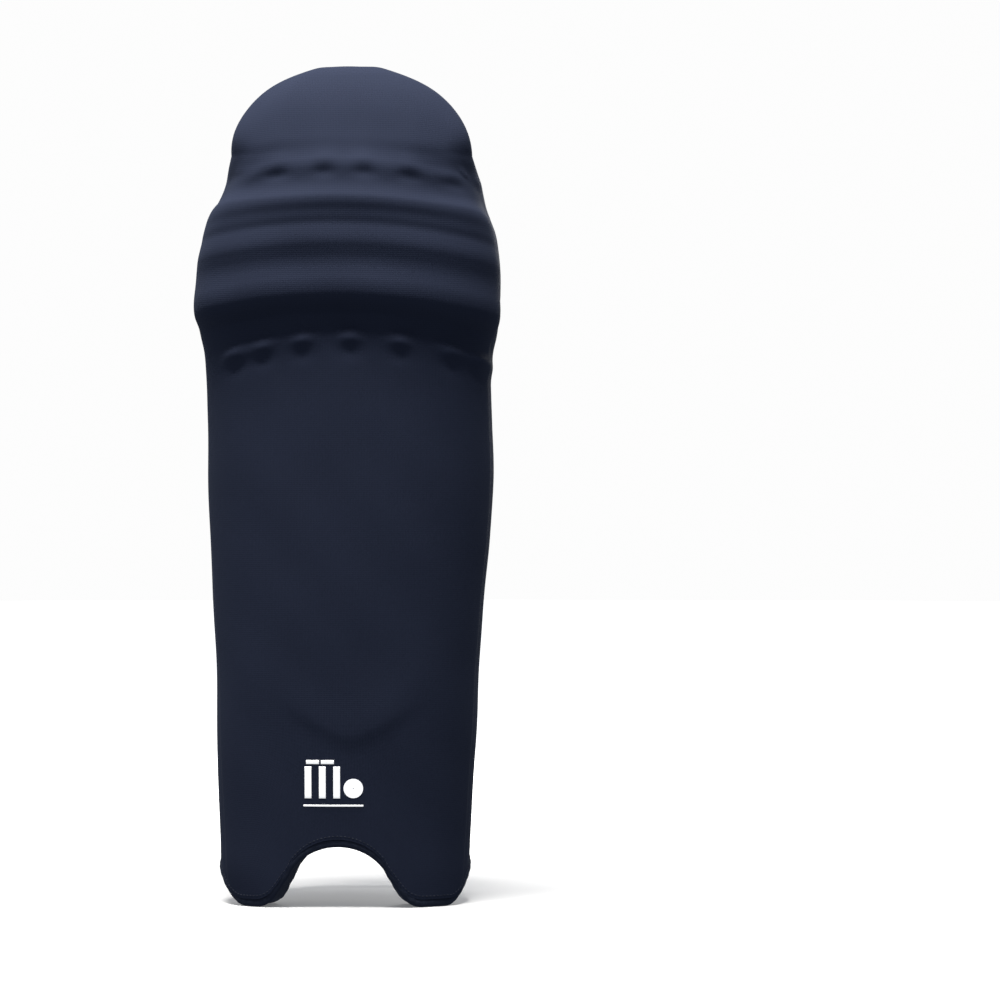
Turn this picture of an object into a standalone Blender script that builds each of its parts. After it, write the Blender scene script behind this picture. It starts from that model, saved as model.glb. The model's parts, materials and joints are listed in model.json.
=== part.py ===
"""Cricket batting pad for a right leg, front towards -Y, outer wing towards -X, +Z up.

The pad is a padded front face of upright cane ribs, three knee rolls and a hinged top
flap, with two padded wings behind it, a stretch fabric cover over the front and three
straps behind the leg. Every layer is worked out from one outer surface: a plan section
at each height, and a depth below that section.
"""
import math

import bpy
import bmesh
from mathutils import Vector

MM = 0.001

# Driving dimensions, in millimetres.
DOME_BASE_Z = 605.0
DOME_RISE = 73.0
DOME_LEFT = 92.5
DOME_RIGHT = 100.0
OUTER_HALF_WIDTH = [(0, 100), (25, 102.5), (100, 105.5), (200, 107.5), (340, 114.5), (430, 115),
                    (485, 122), (510, 121.5), (540, 117), (575, 99.5), (605, 92.5)]
INNER_HALF_WIDTH = [(0, 94), (25, 96.5), (100, 100.5), (200, 105.5), (340, 116.5), (430, 115.5),
                    (485, 122), (510, 121.5), (540, 119), (575, 110), (605, 100)]
FRONT_Y = [(0, -60), (60, -63), (200, -72), (340, -79), (440, -82), (475, -82), (530, -86), (588, -84)]
WIDEST_Y = [(0, -4), (500, 0), (550, -6), (588, -20)]
REAR_Y = [(0, 42), (60, 46), (200, 48), (480, 50), (540, 47), (570, 30), (588, 12)]
REAR_CURL = 20.0
FACE_EDGE = 0.575
RIB_COUNT = 7
RIB_PITCH = 2 * FACE_EDGE / RIB_COUNT
RIB_BOTTOM_Z = 142.0
ARCH_CENTRE_X = -6.0
ARCH_RADIUS = 45.0
ARCH_CENTRE_Z = 4.6
ARCH_FOOT_X = 66.0
ARCH_CHORD_X = 38.0
LOBE_OUTER_X = 78.0
LOBE_CORNER_RISE = 26.0
WING_REAR_RISE = 46.0
HEM_HEIGHT = 7.0
EDGE_CLEARANCE = 4.0
WING_DEPTH = 2.6
SHIN_ROWS = 9
COVER_THICKNESS = 1.0
FACE_DEPTH = 1.8
SKIN_THICKNESS = 1.4
RIB_DEPTH = 7.0
ROLL_CLEARANCE = 2.8
FOAM_DEPTH = 12.5
FOAM_BACK = 28.0
LINING_THICKNESS = 1.4
WING_FRONT_THICKNESS = 15.0
WING_REAR_THICKNESS = 11.0
KNEE_HINGE_Y = 0.0
KNEE_HINGE_Z = 470.0
FLAP_HINGE_Y = -62.0
FLAP_HINGE_Z = 590.0
FLAP_CURVE_RADIUS = 190.0
FLAP_Y = [(586, -91), (610, -85), (645, -71), (680, -52)]
FLAP_RIB_COUNT = 6
FLAP_RIB_PITCH = 31.0
FLAP_RIB_CENTRE_X = 2.5
STRAP_THICKNESS = 2.0
STRAPS = {"ankle": (96.0, 36.0), "calf": (285.0, 36.0), "knee": (510.0, 40.0)}

# Fabric, foam and webbing colours: linear RGB, roughness.
PALETTE = {
    "navy_knit": ((0.017, 0.021, 0.040), 0.85),
    "navy_binding": ((0.022, 0.027, 0.050), 0.75),
    "white_leather": ((0.62, 0.62, 0.60), 0.50),
    "cane": ((0.52, 0.36, 0.17), 0.60),
    "foam": ((0.55, 0.55, 0.50), 0.95),
    "navy_lining": ((0.020, 0.024, 0.040), 0.90),
    "webbing": ((0.014, 0.016, 0.026), 0.80),
    "strap_pad": ((0.018, 0.020, 0.032), 0.88),
    "loop_tape": ((0.012, 0.013, 0.018), 0.98),
    "hook_tape": ((0.010, 0.010, 0.013), 0.70),
}


def clear_scene():
    """Remove whatever the file opened with."""
    for obj in list(bpy.data.objects):
        bpy.data.objects.remove(obj, do_unlink=True)


def palette_material(name):
    """One Principled material for each finish."""
    material = bpy.data.materials.get(name)
    if material:
        return material
    colour, roughness = PALETTE[name]
    material = bpy.data.materials.new(name)
    material.use_nodes = True
    shader = material.node_tree.nodes["Principled BSDF"]
    shader.inputs["Base Color"].default_value = (*colour, 1.0)
    shader.inputs["Roughness"].default_value = roughness
    shader.inputs["Metallic"].default_value = 0.0
    return material


# ---------------------------------------------------------------- curves and the outer surface


def eased(points, position):
    """A smooth curve through (position, value) points, held level past both ends."""
    if position <= points[0][0]:
        return points[0][1]
    if position >= points[-1][0]:
        return points[-1][1]
    slopes = []
    for index, (here, value) in enumerate(points):
        before = points[max(index - 1, 0)]
        after = points[min(index + 1, len(points) - 1)]
        slopes.append((after[1] - before[1]) / (after[0] - before[0]))
    for index in range(len(points) - 1):
        (x0, y0), (x1, y1) = points[index], points[index + 1]
        if x0 <= position <= x1:
            span = x1 - x0
            f = (position - x0) / span
            return ((2 * f ** 3 - 3 * f ** 2 + 1) * y0 + (f ** 3 - 2 * f ** 2 + f) * span * slopes[index]
                    + (3 * f ** 2 - 2 * f ** 3) * y1 + (f ** 3 - f ** 2) * span * slopes[index + 1])


def ramp(low, high, value):
    """Smooth step from 0 at low to 1 at high."""
    f = min(max((value - low) / (high - low), 0.0), 1.0)
    return f * f * (3 - 2 * f)


def bezier(points, f):
    """Point at f on a cubic Bezier."""
    g = 1 - f
    weights = (g ** 3, 3 * g * g * f, 3 * g * f * f, f ** 3)
    return tuple(sum(w * p[axis] for w, p in zip(weights, points)) for axis in (0, 1))


SECTION_STEPS = 14
section_store = {}


def half_section(side, z):
    """Outer plan section from the front centre line round one side to its rear edge."""
    key = (side, round(z, 3))
    if key in section_store:
        return section_store[key]
    width = eased(INNER_HALF_WIDTH if side > 0 else OUTER_HALF_WIDTH, z)
    front, widest, rear = eased(FRONT_Y, z), eased(WIDEST_Y, z), eased(REAR_Y, z)
    depth, tail = widest - front, rear - widest
    face = [(0, front), (0.58 * width, front), (width, front + 0.22 * depth), (width, widest)]
    wing = [(width, widest), (width, widest + 0.45 * tail),
            (width - 0.35 * REAR_CURL, widest + 0.8 * tail), (width - REAR_CURL, rear)]
    steps = [index / SECTION_STEPS for index in range(SECTION_STEPS + 1)]
    points = [bezier(face, f) for f in steps] + [bezier(wing, f) for f in steps[1:]]
    lengths = [0.0]
    for before, after in zip(points, points[1:]):
        lengths.append(lengths[-1] + math.dist(before, after))
    section_store[key] = (points, lengths)
    return section_store[key]


def surface(s, z, depth):
    """Point at a depth below the outer surface. s runs from -1, outer rear edge, to 1, inner rear edge."""
    side = 1 if s >= 0 else -1
    points, lengths = half_section(side, z)
    target = min(abs(s), 1.0) * lengths[-1]
    index = 0
    while index < len(lengths) - 2 and lengths[index + 1] < target:
        index += 1
    f = (target - lengths[index]) / (lengths[index + 1] - lengths[index])
    (x0, y0), (x1, y1) = points[index], points[index + 1]
    before = points[max(index - 1, 0)]
    after = points[min(index + 2, len(points) - 1)]
    tangent = Vector((x1 - x0, y1 - y0))
    start = Vector((x1 - before[0], y1 - before[1])) if index else tangent
    end = Vector((after[0] - x0, after[1] - y0))
    tangent = start.normalized().lerp(end.normalized(), f).normalized()
    x = x0 + (x1 - x0) * f - tangent.y * depth
    y = y0 + (y1 - y0) * f + tangent.x * depth
    return Vector((side * x, y, z))


def flap_surface(x, z, depth):
    """Point at a depth behind the top flap's outer surface."""
    return Vector((x, eased(FLAP_Y, z) + x * x / (2 * FLAP_CURVE_RADIUS) + depth, z))


def dome_z(x, inset):
    """Height of the top flap's domed outline above x, drawn in by an inset."""
    reach = (DOME_RIGHT if x > 0 else DOME_LEFT) - inset
    return DOME_BASE_Z + (DOME_RISE - inset) * math.sqrt(max(1 - (x / reach) ** 2, 0.0))


def bottom_z(s):
    """Bottom edge: an instep arch between two lobes, rising round the wings to the rear."""
    x = surface(s, 20.0, 0.0).x if abs(s) < FACE_EDGE else math.copysign(LOBE_OUTER_X + 30, s)
    across = abs(x - ARCH_CENTRE_X)
    if across <= ARCH_CHORD_X:
        return ARCH_CENTRE_Z + math.sqrt(ARCH_RADIUS ** 2 - across ** 2)
    if across < ARCH_FOOT_X:
        height = math.sqrt(ARCH_RADIUS ** 2 - ARCH_CHORD_X ** 2)
        return eased([(ARCH_CHORD_X - 4, ARCH_CENTRE_Z + height + 6), (ARCH_CHORD_X, ARCH_CENTRE_Z + height),
                      (ARCH_FOOT_X - 9, 3.5), (ARCH_FOOT_X, 0.0), (ARCH_FOOT_X + 9, 0.0)], across)
    corner = LOBE_CORNER_RISE * ramp(0.50, 0.72, abs(s))
    return corner + (WING_REAR_RISE - LOBE_CORNER_RISE) * ramp(0.68, 1.0, abs(s))


def shin_top_z(s):
    """Top edge of everything on the shin, lower at the sides and lower again at the rear."""
    return 466 - 8 * ramp(0, 0.55, abs(s)) - 8 * ramp(0.6, 1, abs(s))


def knee_bottom_z(s):
    """Bottom edge of the knee block."""
    return 484 - 10 * ramp(0, 0.55, abs(s)) + 7 * ramp(0.6, 1, abs(s))


def knee_arc(s):
    """How far a knee roll drops from its middle towards its ends."""
    return 10 * ramp(0, 0.62, abs(s))


# ------------------------------------------------------------------------------ solid builders


def finished(name, mesh_vertices, faces, finish, smooth=40):
    """A named object from vertices in millimetres, its faces turned outwards."""
    mesh = bpy.data.meshes.new(name)
    mesh.from_pydata([tuple(Vector(v) * MM) for v in mesh_vertices], [], faces)
    shape = bmesh.new()
    shape.from_mesh(mesh)
    bmesh.ops.recalc_face_normals(shape, faces=shape.faces)
    shape.to_mesh(mesh)
    shape.free()
    mesh.materials.append(palette_material(finish))
    mesh.shade_smooth()
    mesh.set_sharp_from_angle(angle=math.radians(smooth))
    obj = bpy.data.objects.new(name, mesh)
    bpy.context.collection.objects.link(obj)
    return obj


def grid_shell(name, outer, inner, finish):
    """A closed sheet between two grids of points with the same rows and columns."""
    rows, columns = len(outer), len(outer[0])
    vertices = [p for row in outer for p in row] + [p for row in inner for p in row]
    back = rows * columns

    def at(row, column, layer):
        return layer * back + row * columns + column

    faces = []
    for row in range(rows - 1):
        for column in range(columns - 1):
            for layer in (0, 1):
                ring = [at(row, column, layer), at(row, column + 1, layer),
                        at(row + 1, column + 1, layer), at(row + 1, column, layer)]
                faces.append(ring if layer == 0 else ring[::-1])
    for column in range(columns - 1):
        faces.append([at(0, column + 1, 0), at(0, column, 0), at(0, column, 1), at(0, column + 1, 1)])
        faces.append([at(rows - 1, column, 0), at(rows - 1, column + 1, 0),
                      at(rows - 1, column + 1, 1), at(rows - 1, column, 1)])
    for row in range(rows - 1):
        faces.append([at(row, 0, 0), at(row + 1, 0, 0), at(row + 1, 0, 1), at(row, 0, 1)])
        faces.append([at(row + 1, columns - 1, 0), at(row, columns - 1, 0),
                      at(row, columns - 1, 1), at(row + 1, columns - 1, 1)])
    return finished(name, vertices, faces, finish)


def layer(name, columns, rows, height, outer_depth, inner_depth, finish):
    """A sheet on the outer surface. height(s, v) gives z; the depths are functions of s and z."""
    outer, inner = [], []
    for v in rows:
        heights = [height(s, v) for s in columns]
        outer.append([surface(s, z, outer_depth(s, z)) for s, z in zip(columns, heights)])
        inner.append([surface(s, z, inner_depth(s, z)) for s, z in zip(columns, heights)])
    return grid_shell(name, outer, inner, finish)


def lofted(name, rings, finish, closed_path=False):
    """A solid through rings of points, with flat caps unless the path is closed."""
    count = len(rings[0])
    vertices = [p for ring in rings for p in ring]
    faces = []
    last = len(rings) if closed_path else len(rings) - 1
    for index in range(last):
        after = (index + 1) % len(rings)
        for corner in range(count):
            step = (corner + 1) % count
            faces.append([index * count + corner, index * count + step, after * count + step, after * count + corner])
    if not closed_path:
        faces.append(list(range(count))[::-1])
        faces.append([(len(rings) - 1) * count + corner for corner in range(count)])
    return finished(name, vertices, faces, finish)


def spread(low, high, count):
    """Evenly spaced values from low to high."""
    return [low + (high - low) * index / (count - 1) for index in range(count)]


def level(value):
    """A depth that is the same everywhere."""
    return lambda s, z: value


def between(bottom, top, clearance=0.0):
    """Rows spread evenly from one edge curve to another; only the first row keeps a clearance."""
    return lambda s, v: bottom(s) * (1 - v) + top(s) * v + (clearance if v == 0 else 0)


# ------------------------------------------------------------------------------------ the shin

FACE_COLUMNS = spread(-FACE_EDGE, FACE_EDGE, 4 * RIB_COUNT + 1)
COARSE_COLUMNS = FACE_COLUMNS[::2]
SIDE_COLUMNS = [0.60, 0.67, 0.74, 0.81, 0.88, 0.94, 1.0]
COVER_COLUMNS = [-s for s in SIDE_COLUMNS[::-1]] + FACE_COLUMNS + SIDE_COLUMNS


def rib_depth(s, z):
    """Depth of the ribbed face: shallow on each rib's crown, deep in the valley between ribs."""
    phase = abs(math.cos(math.pi * s / RIB_PITCH))
    return FACE_DEPTH + RIB_DEPTH * (1 - phase ** 0.6)


def wing_depth(s, z):
    """Inner face of a wing, thinner towards its rear edge."""
    return WING_FRONT_THICKNESS + (WING_REAR_THICKNESS - WING_FRONT_THICKNESS) * ramp(0.6, 1, abs(s))


def build_shin_face():
    """Ribbed outer skin of the shin, and the padded guard over the instep."""
    rib_zone = between(lambda s: RIB_BOTTOM_Z, shin_top_z)
    layer("shin_face", FACE_COLUMNS, spread(0, 1, 8), rib_zone, rib_depth,
          lambda s, z: rib_depth(s, z) + SKIN_THICKNESS, "white_leather")
    guard_zone = between(bottom_z, lambda s: RIB_BOTTOM_Z - 1, EDGE_CLEARANCE)
    layer("instep_guard", FACE_COLUMNS, spread(0, 1, 4), guard_zone, level(FACE_DEPTH),
          level(FOAM_DEPTH - 0.9), "foam")


def build_shin_canes():
    """One flattened cane in each rib of the shin."""
    outline = [(-0.048, 8.6), (-0.036, 5.4), (0.0, 3.8), (0.036, 5.4), (0.048, 8.6), (0.038, 11.4), (-0.038, 11.4)]
    for number in range(RIB_COUNT):
        centre = (number - (RIB_COUNT - 1) / 2) * RIB_PITCH
        top = shin_top_z(centre) - 7
        rings = []
        for z in spread(RIB_BOTTOM_Z + 6, top, 7):
            rings.append([surface(centre + offset, z, depth) for offset, depth in outline])
        lofted(f"shin_cane_{number + 1}", rings, "cane")


def build_shin_core():
    """Foam board behind the canes and the lining behind it."""
    zone = between(bottom_z, shin_top_z, EDGE_CLEARANCE)
    rows = spread(0, 1, SHIN_ROWS)
    layer("shin_foam", COARSE_COLUMNS, rows, zone, level(FOAM_DEPTH), level(FOAM_BACK), "foam")
    layer("shin_lining", COARSE_COLUMNS, rows, zone, level(FOAM_BACK + 0.8),
          level(FOAM_BACK + 0.8 + LINING_THICKNESS), "navy_lining")


def build_wings():
    """Padded side wings with their linings."""
    zone = between(bottom_z, shin_top_z, EDGE_CLEARANCE)
    rows = spread(0, 1, SHIN_ROWS)
    for name, side in (("outer_wing", -1), ("inner_wing", 1)):
        columns = [side * s for s in SIDE_COLUMNS]
        layer(name, columns, rows, zone, level(WING_DEPTH), wing_depth, "foam")
        layer(f"{name}_lining", columns[::2], rows, zone, lambda s, z: wing_depth(s, z) + 0.8,
              lambda s, z: wing_depth(s, z) + 0.8 + LINING_THICKNESS, "navy_lining")


def build_shin_bolsters():
    """Two upright bolsters that hold the pad off the shin bone."""
    radius = 12.0
    back = FOAM_BACK + 0.8 + LINING_THICKNESS + 0.8
    for name, centre in (("outer_shin_bolster", -0.25), ("inner_shin_bolster", 0.25)):
        rings = []
        for z in spread(120, 430, 6):
            end = min((z - 120) / 30 + 0.55, (430 - z) / 30 + 0.55, 1.0)
            middle = surface(centre, z, back + radius * end)
            ring = []
            for corner in range(8):
                angle = math.tau * corner / 8
                ring.append(middle + radius * end * Vector((1.25 * math.cos(angle), math.sin(angle), 0)))
            rings.append(ring)
        lofted(name, rings, "navy_lining")


def build_shin_cover():
    """Stretch cover over the shin, its folded hem round the bottom and its elastic rear edges."""
    zone = between(bottom_z, shin_top_z, HEM_HEIGHT + 0.6)
    layer("shin_cover", COVER_COLUMNS, spread(0, 1, SHIN_ROWS), zone, level(0), level(COVER_THICKNESS), "navy_knit")
    rings = []
    web = FOAM_DEPTH - 1.5
    for s in COVER_COLUMNS:
        low = bottom_z(s)
        depth = min(web, wing_depth(s, 0) - 1)
        profile = [(-0.6, 0), (depth, 0), (depth, 1.5), (COVER_THICKNESS, 1.5), (COVER_THICKNESS, HEM_HEIGHT),
                   (-0.6, HEM_HEIGHT)]
        rings.append([surface(s, low + rise, 0) + (surface(s, low, depth_in) - surface(s, low, 0))
                      for depth_in, rise in profile])
    lofted("cover_hem", rings, "navy_binding")
    for name, side in (("outer_rear_elastic", -1), ("inner_rear_elastic", 1)):
        rings = []
        for z in spread(WING_REAR_RISE + 9, 448, 7):
            edge, inside = surface(side, z, 0), surface(side, z, WING_REAR_THICKNESS)
            edge.y = inside.y = max(edge.y, inside.y) + 0.6
            back = Vector((0, 1.4, 0))
            rings.append([edge, inside, inside + back, edge + back])
        lofted(name, rings, "navy_binding")


# ------------------------------------------------------------------------------------ the knee

ROLL_RELIEF = [(478, -5), (485, -4), (490, 5), (497, 11), (504, 13.5), (514, 11), (524.5, 4), (533, 9.5),
               (542, 12), (550, 9.5), (558, 4), (566, 8.5), (573, 10), (581, 7), (588, 1)]
KNEE_ROWS = [485, 490, 497, 504, 514, 524.5, 533, 542, 550, 558, 566, 573, 581, 586]
ROLLS = {"lower_knee_roll": [486, 490, 497, 504, 514, 523.7], "middle_knee_roll": [525.3, 533, 542, 550, 557.2],
         "upper_knee_roll": [558.8, 566, 573, 581, 585.5]}
KNEE_FRONT_COLUMNS = spread(-0.6, 0.6, 15)
KNEE_COLUMNS = [-s for s in SIDE_COLUMNS[:0:-1]] + KNEE_FRONT_COLUMNS + SIDE_COLUMNS[1:]


def knee_height(s, z):
    """A knee level's height at s: it bows down at the ends and keeps clear of the knee hinge behind."""
    bow = z - knee_arc(s)
    share = (z - KNEE_ROWS[0]) / (KNEE_ROWS[-1] - KNEE_ROWS[0])
    return bow + 7 * ramp(0.6, 1, abs(s)) * (1 - share) - 6 * ramp(0.6, 1, abs(s)) * share


def roll_depth(level_z, s, clearance):
    """Depth of the knee's outer surface at a roll level, flat again at the sides."""
    fade = 1 - ramp(0.40, 0.62, abs(s))
    return clearance - eased(ROLL_RELIEF, level_z) * fade


def knee_layer(name, columns, rows, outer_depth, inner_depth, finish):
    """A sheet on the knee block. The depths are functions of the level and s."""
    outer = [[surface(s, knee_height(s, z), outer_depth(z, s)) for s in columns] for z in rows]
    inner = [[surface(s, knee_height(s, z), inner_depth(z, s)) for s in columns] for z in rows]
    return grid_shell(name, outer, inner, finish)


def build_knee():
    """Three knee rolls on a foam board, with wings, lining, knee cups and the cover over the front."""
    for name, rows in ROLLS.items():
        knee_layer(name, KNEE_FRONT_COLUMNS, rows, lambda z, s: roll_depth(z, s, ROLL_CLEARANCE),
                   lambda z, s: 12.0, "white_leather")
    board_rows = [486, 505, 525, 545, 565, 585]
    knee_layer("knee_board", KNEE_FRONT_COLUMNS, board_rows, lambda z, s: 12.8, lambda z, s: 26.0, "foam")
    knee_layer("knee_lining", KNEE_FRONT_COLUMNS, board_rows, lambda z, s: 26.8, lambda z, s: 28.2, "navy_lining")
    for name, side in (("outer_knee_wing", -1), ("inner_knee_wing", 1)):
        columns = [side * s for s in [0.62] + SIDE_COLUMNS[1:]]
        knee_layer(name, columns, board_rows, lambda z, s: FACE_DEPTH, lambda z, s: wing_depth(s, z), "foam")
    for name, side in (("outer_knee_cup", -1), ("inner_knee_cup", 1)):
        columns = [side * s for s in spread(0.16, 0.44, 5)]
        rows = spread(494, 576, 5)

        def swell(z, s, middle=side * 0.30):
            across = max(1 - ((s - middle) / 0.16) ** 2, 0)
            along = max(1 - ((z - 535) / 46) ** 2, 0)
            return 31 + 15 * across * along ** 0.5

        knee_layer(name, columns, rows, lambda z, s: 29.0, swell, "navy_lining")
    knee_layer("knee_cover", KNEE_COLUMNS, KNEE_ROWS, lambda z, s: roll_depth(z, s, 0),
               lambda z, s: roll_depth(z, s, COVER_THICKNESS), "navy_knit")


# -------------------------------------------------------------------------------- the top flap


def flap_grid(name, columns, rows, edge_inset, lift, outer_depth, inner_depth, finish):
    """A sheet on the top flap between its bowed bottom edge and its domed outline."""
    outer, inner = [], []
    for v in rows:
        row_out, row_in = [], []
        for x in columns:
            low = 598 + lift - x * x / 950
            z = low * (1 - v) + dome_z(x, edge_inset) * v
            row_out.append(flap_surface(x, z, outer_depth(x)))
            row_in.append(flap_surface(x, z, inner_depth(x)))
        outer.append(row_out)
        inner.append(row_in)
    return grid_shell(name, outer, inner, finish)


def build_top_flap():
    """The hinged flap above the knee: ribbed face, canes, board, lining, cover, binding and piping."""
    left = FLAP_RIB_CENTRE_X - FLAP_RIB_COUNT * FLAP_RIB_PITCH / 2
    right = FLAP_RIB_CENTRE_X + FLAP_RIB_COUNT * FLAP_RIB_PITCH / 2
    fine = spread(left + 5, right - 2, 4 * FLAP_RIB_COUNT + 1)
    coarse = fine[::2]
    rows = spread(0, 1, 5)

    def rib(x):
        phase = abs(math.sin(math.pi * (x - left) / FLAP_RIB_PITCH))
        return FACE_DEPTH + 5.5 * (1 - phase ** 0.6)

    flap_grid("flap_cover", coarse, rows, 2.6, 0, lambda x: 0, lambda x: COVER_THICKNESS, "navy_knit")
    flap_grid("flap_face", fine, rows, 3.2, 0.5, rib, lambda x: rib(x) + SKIN_THICKNESS, "white_leather")
    flap_grid("flap_board", coarse, rows, 3.2, 0.5, lambda x: 11.0, lambda x: 22.0, "foam")
    flap_grid("flap_lining", coarse, rows, 3.2, 0.5, lambda x: 22.8, lambda x: 24.2, "navy_lining")
    outline = [(-8.5, 7.4), (-5.5, 5.0), (5.5, 5.0), (8.5, 7.4), (7.0, 9.9), (-7.0, 9.9)]
    for number in range(FLAP_RIB_COUNT):
        centre = left + (number + 0.5) * FLAP_RIB_PITCH
        top = min(dome_z(centre - 8.5, 9), dome_z(centre + 8.5, 9))
        rings = []
        for z in spread(604 - centre * centre / 950, top, 4):
            rings.append([flap_surface(centre + dx, z, depth) for dx, depth in outline])
        lofted(f"flap_cane_{number + 1}", rings, "cane")
    binding, piping = [], []
    for angle in spread(0.06, math.pi - 0.06, 27):
        reach = DOME_RIGHT if math.cos(angle) > 0 else DOME_LEFT
        outward = Vector((math.cos(angle), 0, math.sin(angle)))
        rim = Vector((reach * math.cos(angle), 0, DOME_BASE_Z + DOME_RISE * math.sin(angle)))

        def at(inset, depth):
            point = rim - outward * inset
            return flap_surface(point.x, point.z, depth)

        binding.append([at(0.8, 3.5), at(0.8, 25), at(2.2, 25), at(2.2, 3.5)])
        centre = at(0.9, 1.2)
        piping.append([centre + 1.5 * (math.cos(turn) * outward + math.sin(turn) * Vector((0, 1, 0)))
                       for turn in spread(0, math.tau * 5 / 6, 6)])
    lofted("flap_edge_binding", binding, "navy_binding")
    lofted("flap_piping", piping, "navy_binding")


# ---------------------------------------------------------------------------------- the straps


def smooth_route(points, steps):
    """Points along a Catmull-Rom curve through a route in plan."""
    route = []
    padded = [points[0]] + points + [points[-1]]
    for index in range(1, len(padded) - 2):
        p0, p1, p2, p3 = (Vector(p) for p in padded[index - 1:index + 3])
        for step in range(steps):
            f = step / steps
            route.append(0.5 * (2 * p1 + (p2 - p0) * f + (2 * p0 - 5 * p1 + 4 * p2 - p3) * f * f
                                + (3 * p1 - p0 - 3 * p2 + p3) * f ** 3))
    route.append(Vector(points[-1]))
    return route


def strap_route(z):
    """A strap's centre line in plan: from its root behind the inner wing round to the outer wing."""
    root = surface(1.0, z, 0)
    tip = [surface(s, z, -6.7) for s in (-1.0, -0.955, -0.90)]
    rear = surface(-1.0, z, 0)
    bulge = 92.0
    return [(root.x - 1.5, root.y + 6.6), (root.x - 16, root.y + 12), (root.x * 0.6, bulge - 9), (0, bulge),
            (rear.x * 0.6, bulge - 9), (rear.x + 8, rear.y + 17), (rear.x - 4.5, rear.y + 5.5),
            (tip[1].x, tip[1].y), (tip[2].x, tip[2].y)]


def strap_frames(route):
    """Each route point with its unit normal in plan, pointing away from the leg."""
    frames = []
    for index, point in enumerate(route):
        before = route[max(index - 1, 0)]
        after = route[min(index + 1, len(route) - 1)]
        along = (after - before).normalized()
        frames.append((point, Vector((along.y, -along.x))))
    return frames


def ribbon(name, frames, z, width, near, far, finish):
    """A flat strip on edge along strap frames, between two distances from the centre line."""
    rings = []
    for point, outward in frames:
        low, high = z - width / 2, z + width / 2
        a, b = point + outward * near, point + outward * far
        rings.append([(a.x, a.y, low), (b.x, b.y, low), (b.x, b.y, high), (a.x, a.y, high)])
    return lofted(name, rings, finish)


def sleeve(name, frames, z, width, hole_width, hole, wall, finish):
    """A padded tube round the strap, open at both ends."""
    rings, inner = [], []
    last = len(frames) - 1
    for index, (point, outward) in enumerate(frames):
        plump = wall * (0.45 if index in (0, last) else 1.0)
        tall = width / 2 - (4 if index in (0, last) else 0)
        a, b = point + outward * (-hole - plump), point + outward * (hole + plump)
        rings.append([(a.x, a.y, z - tall * 0.8), (point.x, point.y, z - tall), (b.x, b.y, z - tall * 0.8),
                      (b.x, b.y, z + tall * 0.8), (point.x, point.y, z + tall), (a.x, a.y, z + tall * 0.8)])
        c, d = point + outward * -hole, point + outward * hole
        half = hole_width / 2
        inner.append([(c.x, c.y, z - half), (point.x, point.y, z - half - 0.1), (d.x, d.y, z - half),
                      (d.x, d.y, z + half), (point.x, point.y, z + half + 0.1), (c.x, c.y, z + half)])
    count = 6
    vertices = [p for ring in rings for p in ring] + [p for ring in inner for p in ring]
    offset = len(rings) * count
    faces = []
    for index in range(last):
        for corner in range(count):
            step = (corner + 1) % count
            a, b, c, d = (index * count + corner, index * count + step,
                          (index + 1) * count + step, (index + 1) * count + corner)
            faces.append([a, b, c, d])
            faces.append([offset + d, offset + c, offset + b, offset + a])
    for end in (0, last):
        for corner in range(count):
            step = (corner + 1) % count
            faces.append([end * count + corner, end * count + step,
                          offset + end * count + step, offset + end * count + corner])
    return finished(name, vertices, faces, finish)


def move_origin(obj, origin):
    """Put an object's origin on its joint's axis without moving its mesh in space."""
    place = Vector(origin) * MM
    for vertex in obj.data.vertices:
        vertex.co -= place
    obj.location = place


def build_straps():
    """Three straps: a band sewn to an anchor, a padded sleeve and a hook tab on a loop patch."""
    steps = 3
    for name, (z, width) in STRAPS.items():
        frames = strap_frames(smooth_route(strap_route(z), steps))
        half = STRAP_THICKNESS / 2
        root = frames[0][0]
        hinge = (root.x, root.y, z)
        pieces = [ribbon(f"{name}_strap_band", frames, z, width, -half, half, "webbing")]
        pieces.append(sleeve(f"{name}_strap_pad", frames[steps + 1:5 * steps], z, width + 10, width + 1.2,
                             half + 0.5, 4.5, "strap_pad"))
        tab_frames = frames[-2 * steps + 1:]
        pieces.append(ribbon(f"{name}_hook_tab", tab_frames, z, width - 3, -half - 0.4, -half - 1.6, "hook_tape"))
        for piece in pieces:
            move_origin(piece, hinge)
        patch_columns = [-0.97, -0.94, -0.88]
        patch_rows = spread(z - width / 2 - 3, z + width / 2 + 3, 3)
        outer = [[surface(s, row, -2.9) for s in patch_columns] for row in patch_rows]
        inner = [[surface(s, row, -1.7) for s in patch_columns] for row in patch_rows]
        grid_shell(f"{name}_loop_patch", outer, inner, "loop_tape")
        edge = surface(1.0, z, 0)
        inside = surface(1.0, z, WING_REAR_THICKNESS)
        start = max(edge.y, inside.y) + 2.4
        anchor = [(edge.x - 1.5, start), (inside.x, start), (inside.x, start + 1.6), (edge.x - 1.5, start + 1.6)]
        rings = [[(x, y, z + offset) for x, y in anchor] for offset in (-width / 2, width / 2)]
        lofted(f"{name}_strap_anchor", rings, "webbing")


# ------------------------------------------------------------------------------------ assembly


def hinge_empty(name, y, z):
    """An empty on a hinge's axis, for the pieces that turn about it."""
    axis = bpy.data.objects.new(name, None)
    axis.location = Vector((0, y, z)) * MM
    bpy.context.collection.objects.link(axis)
    return axis


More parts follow.
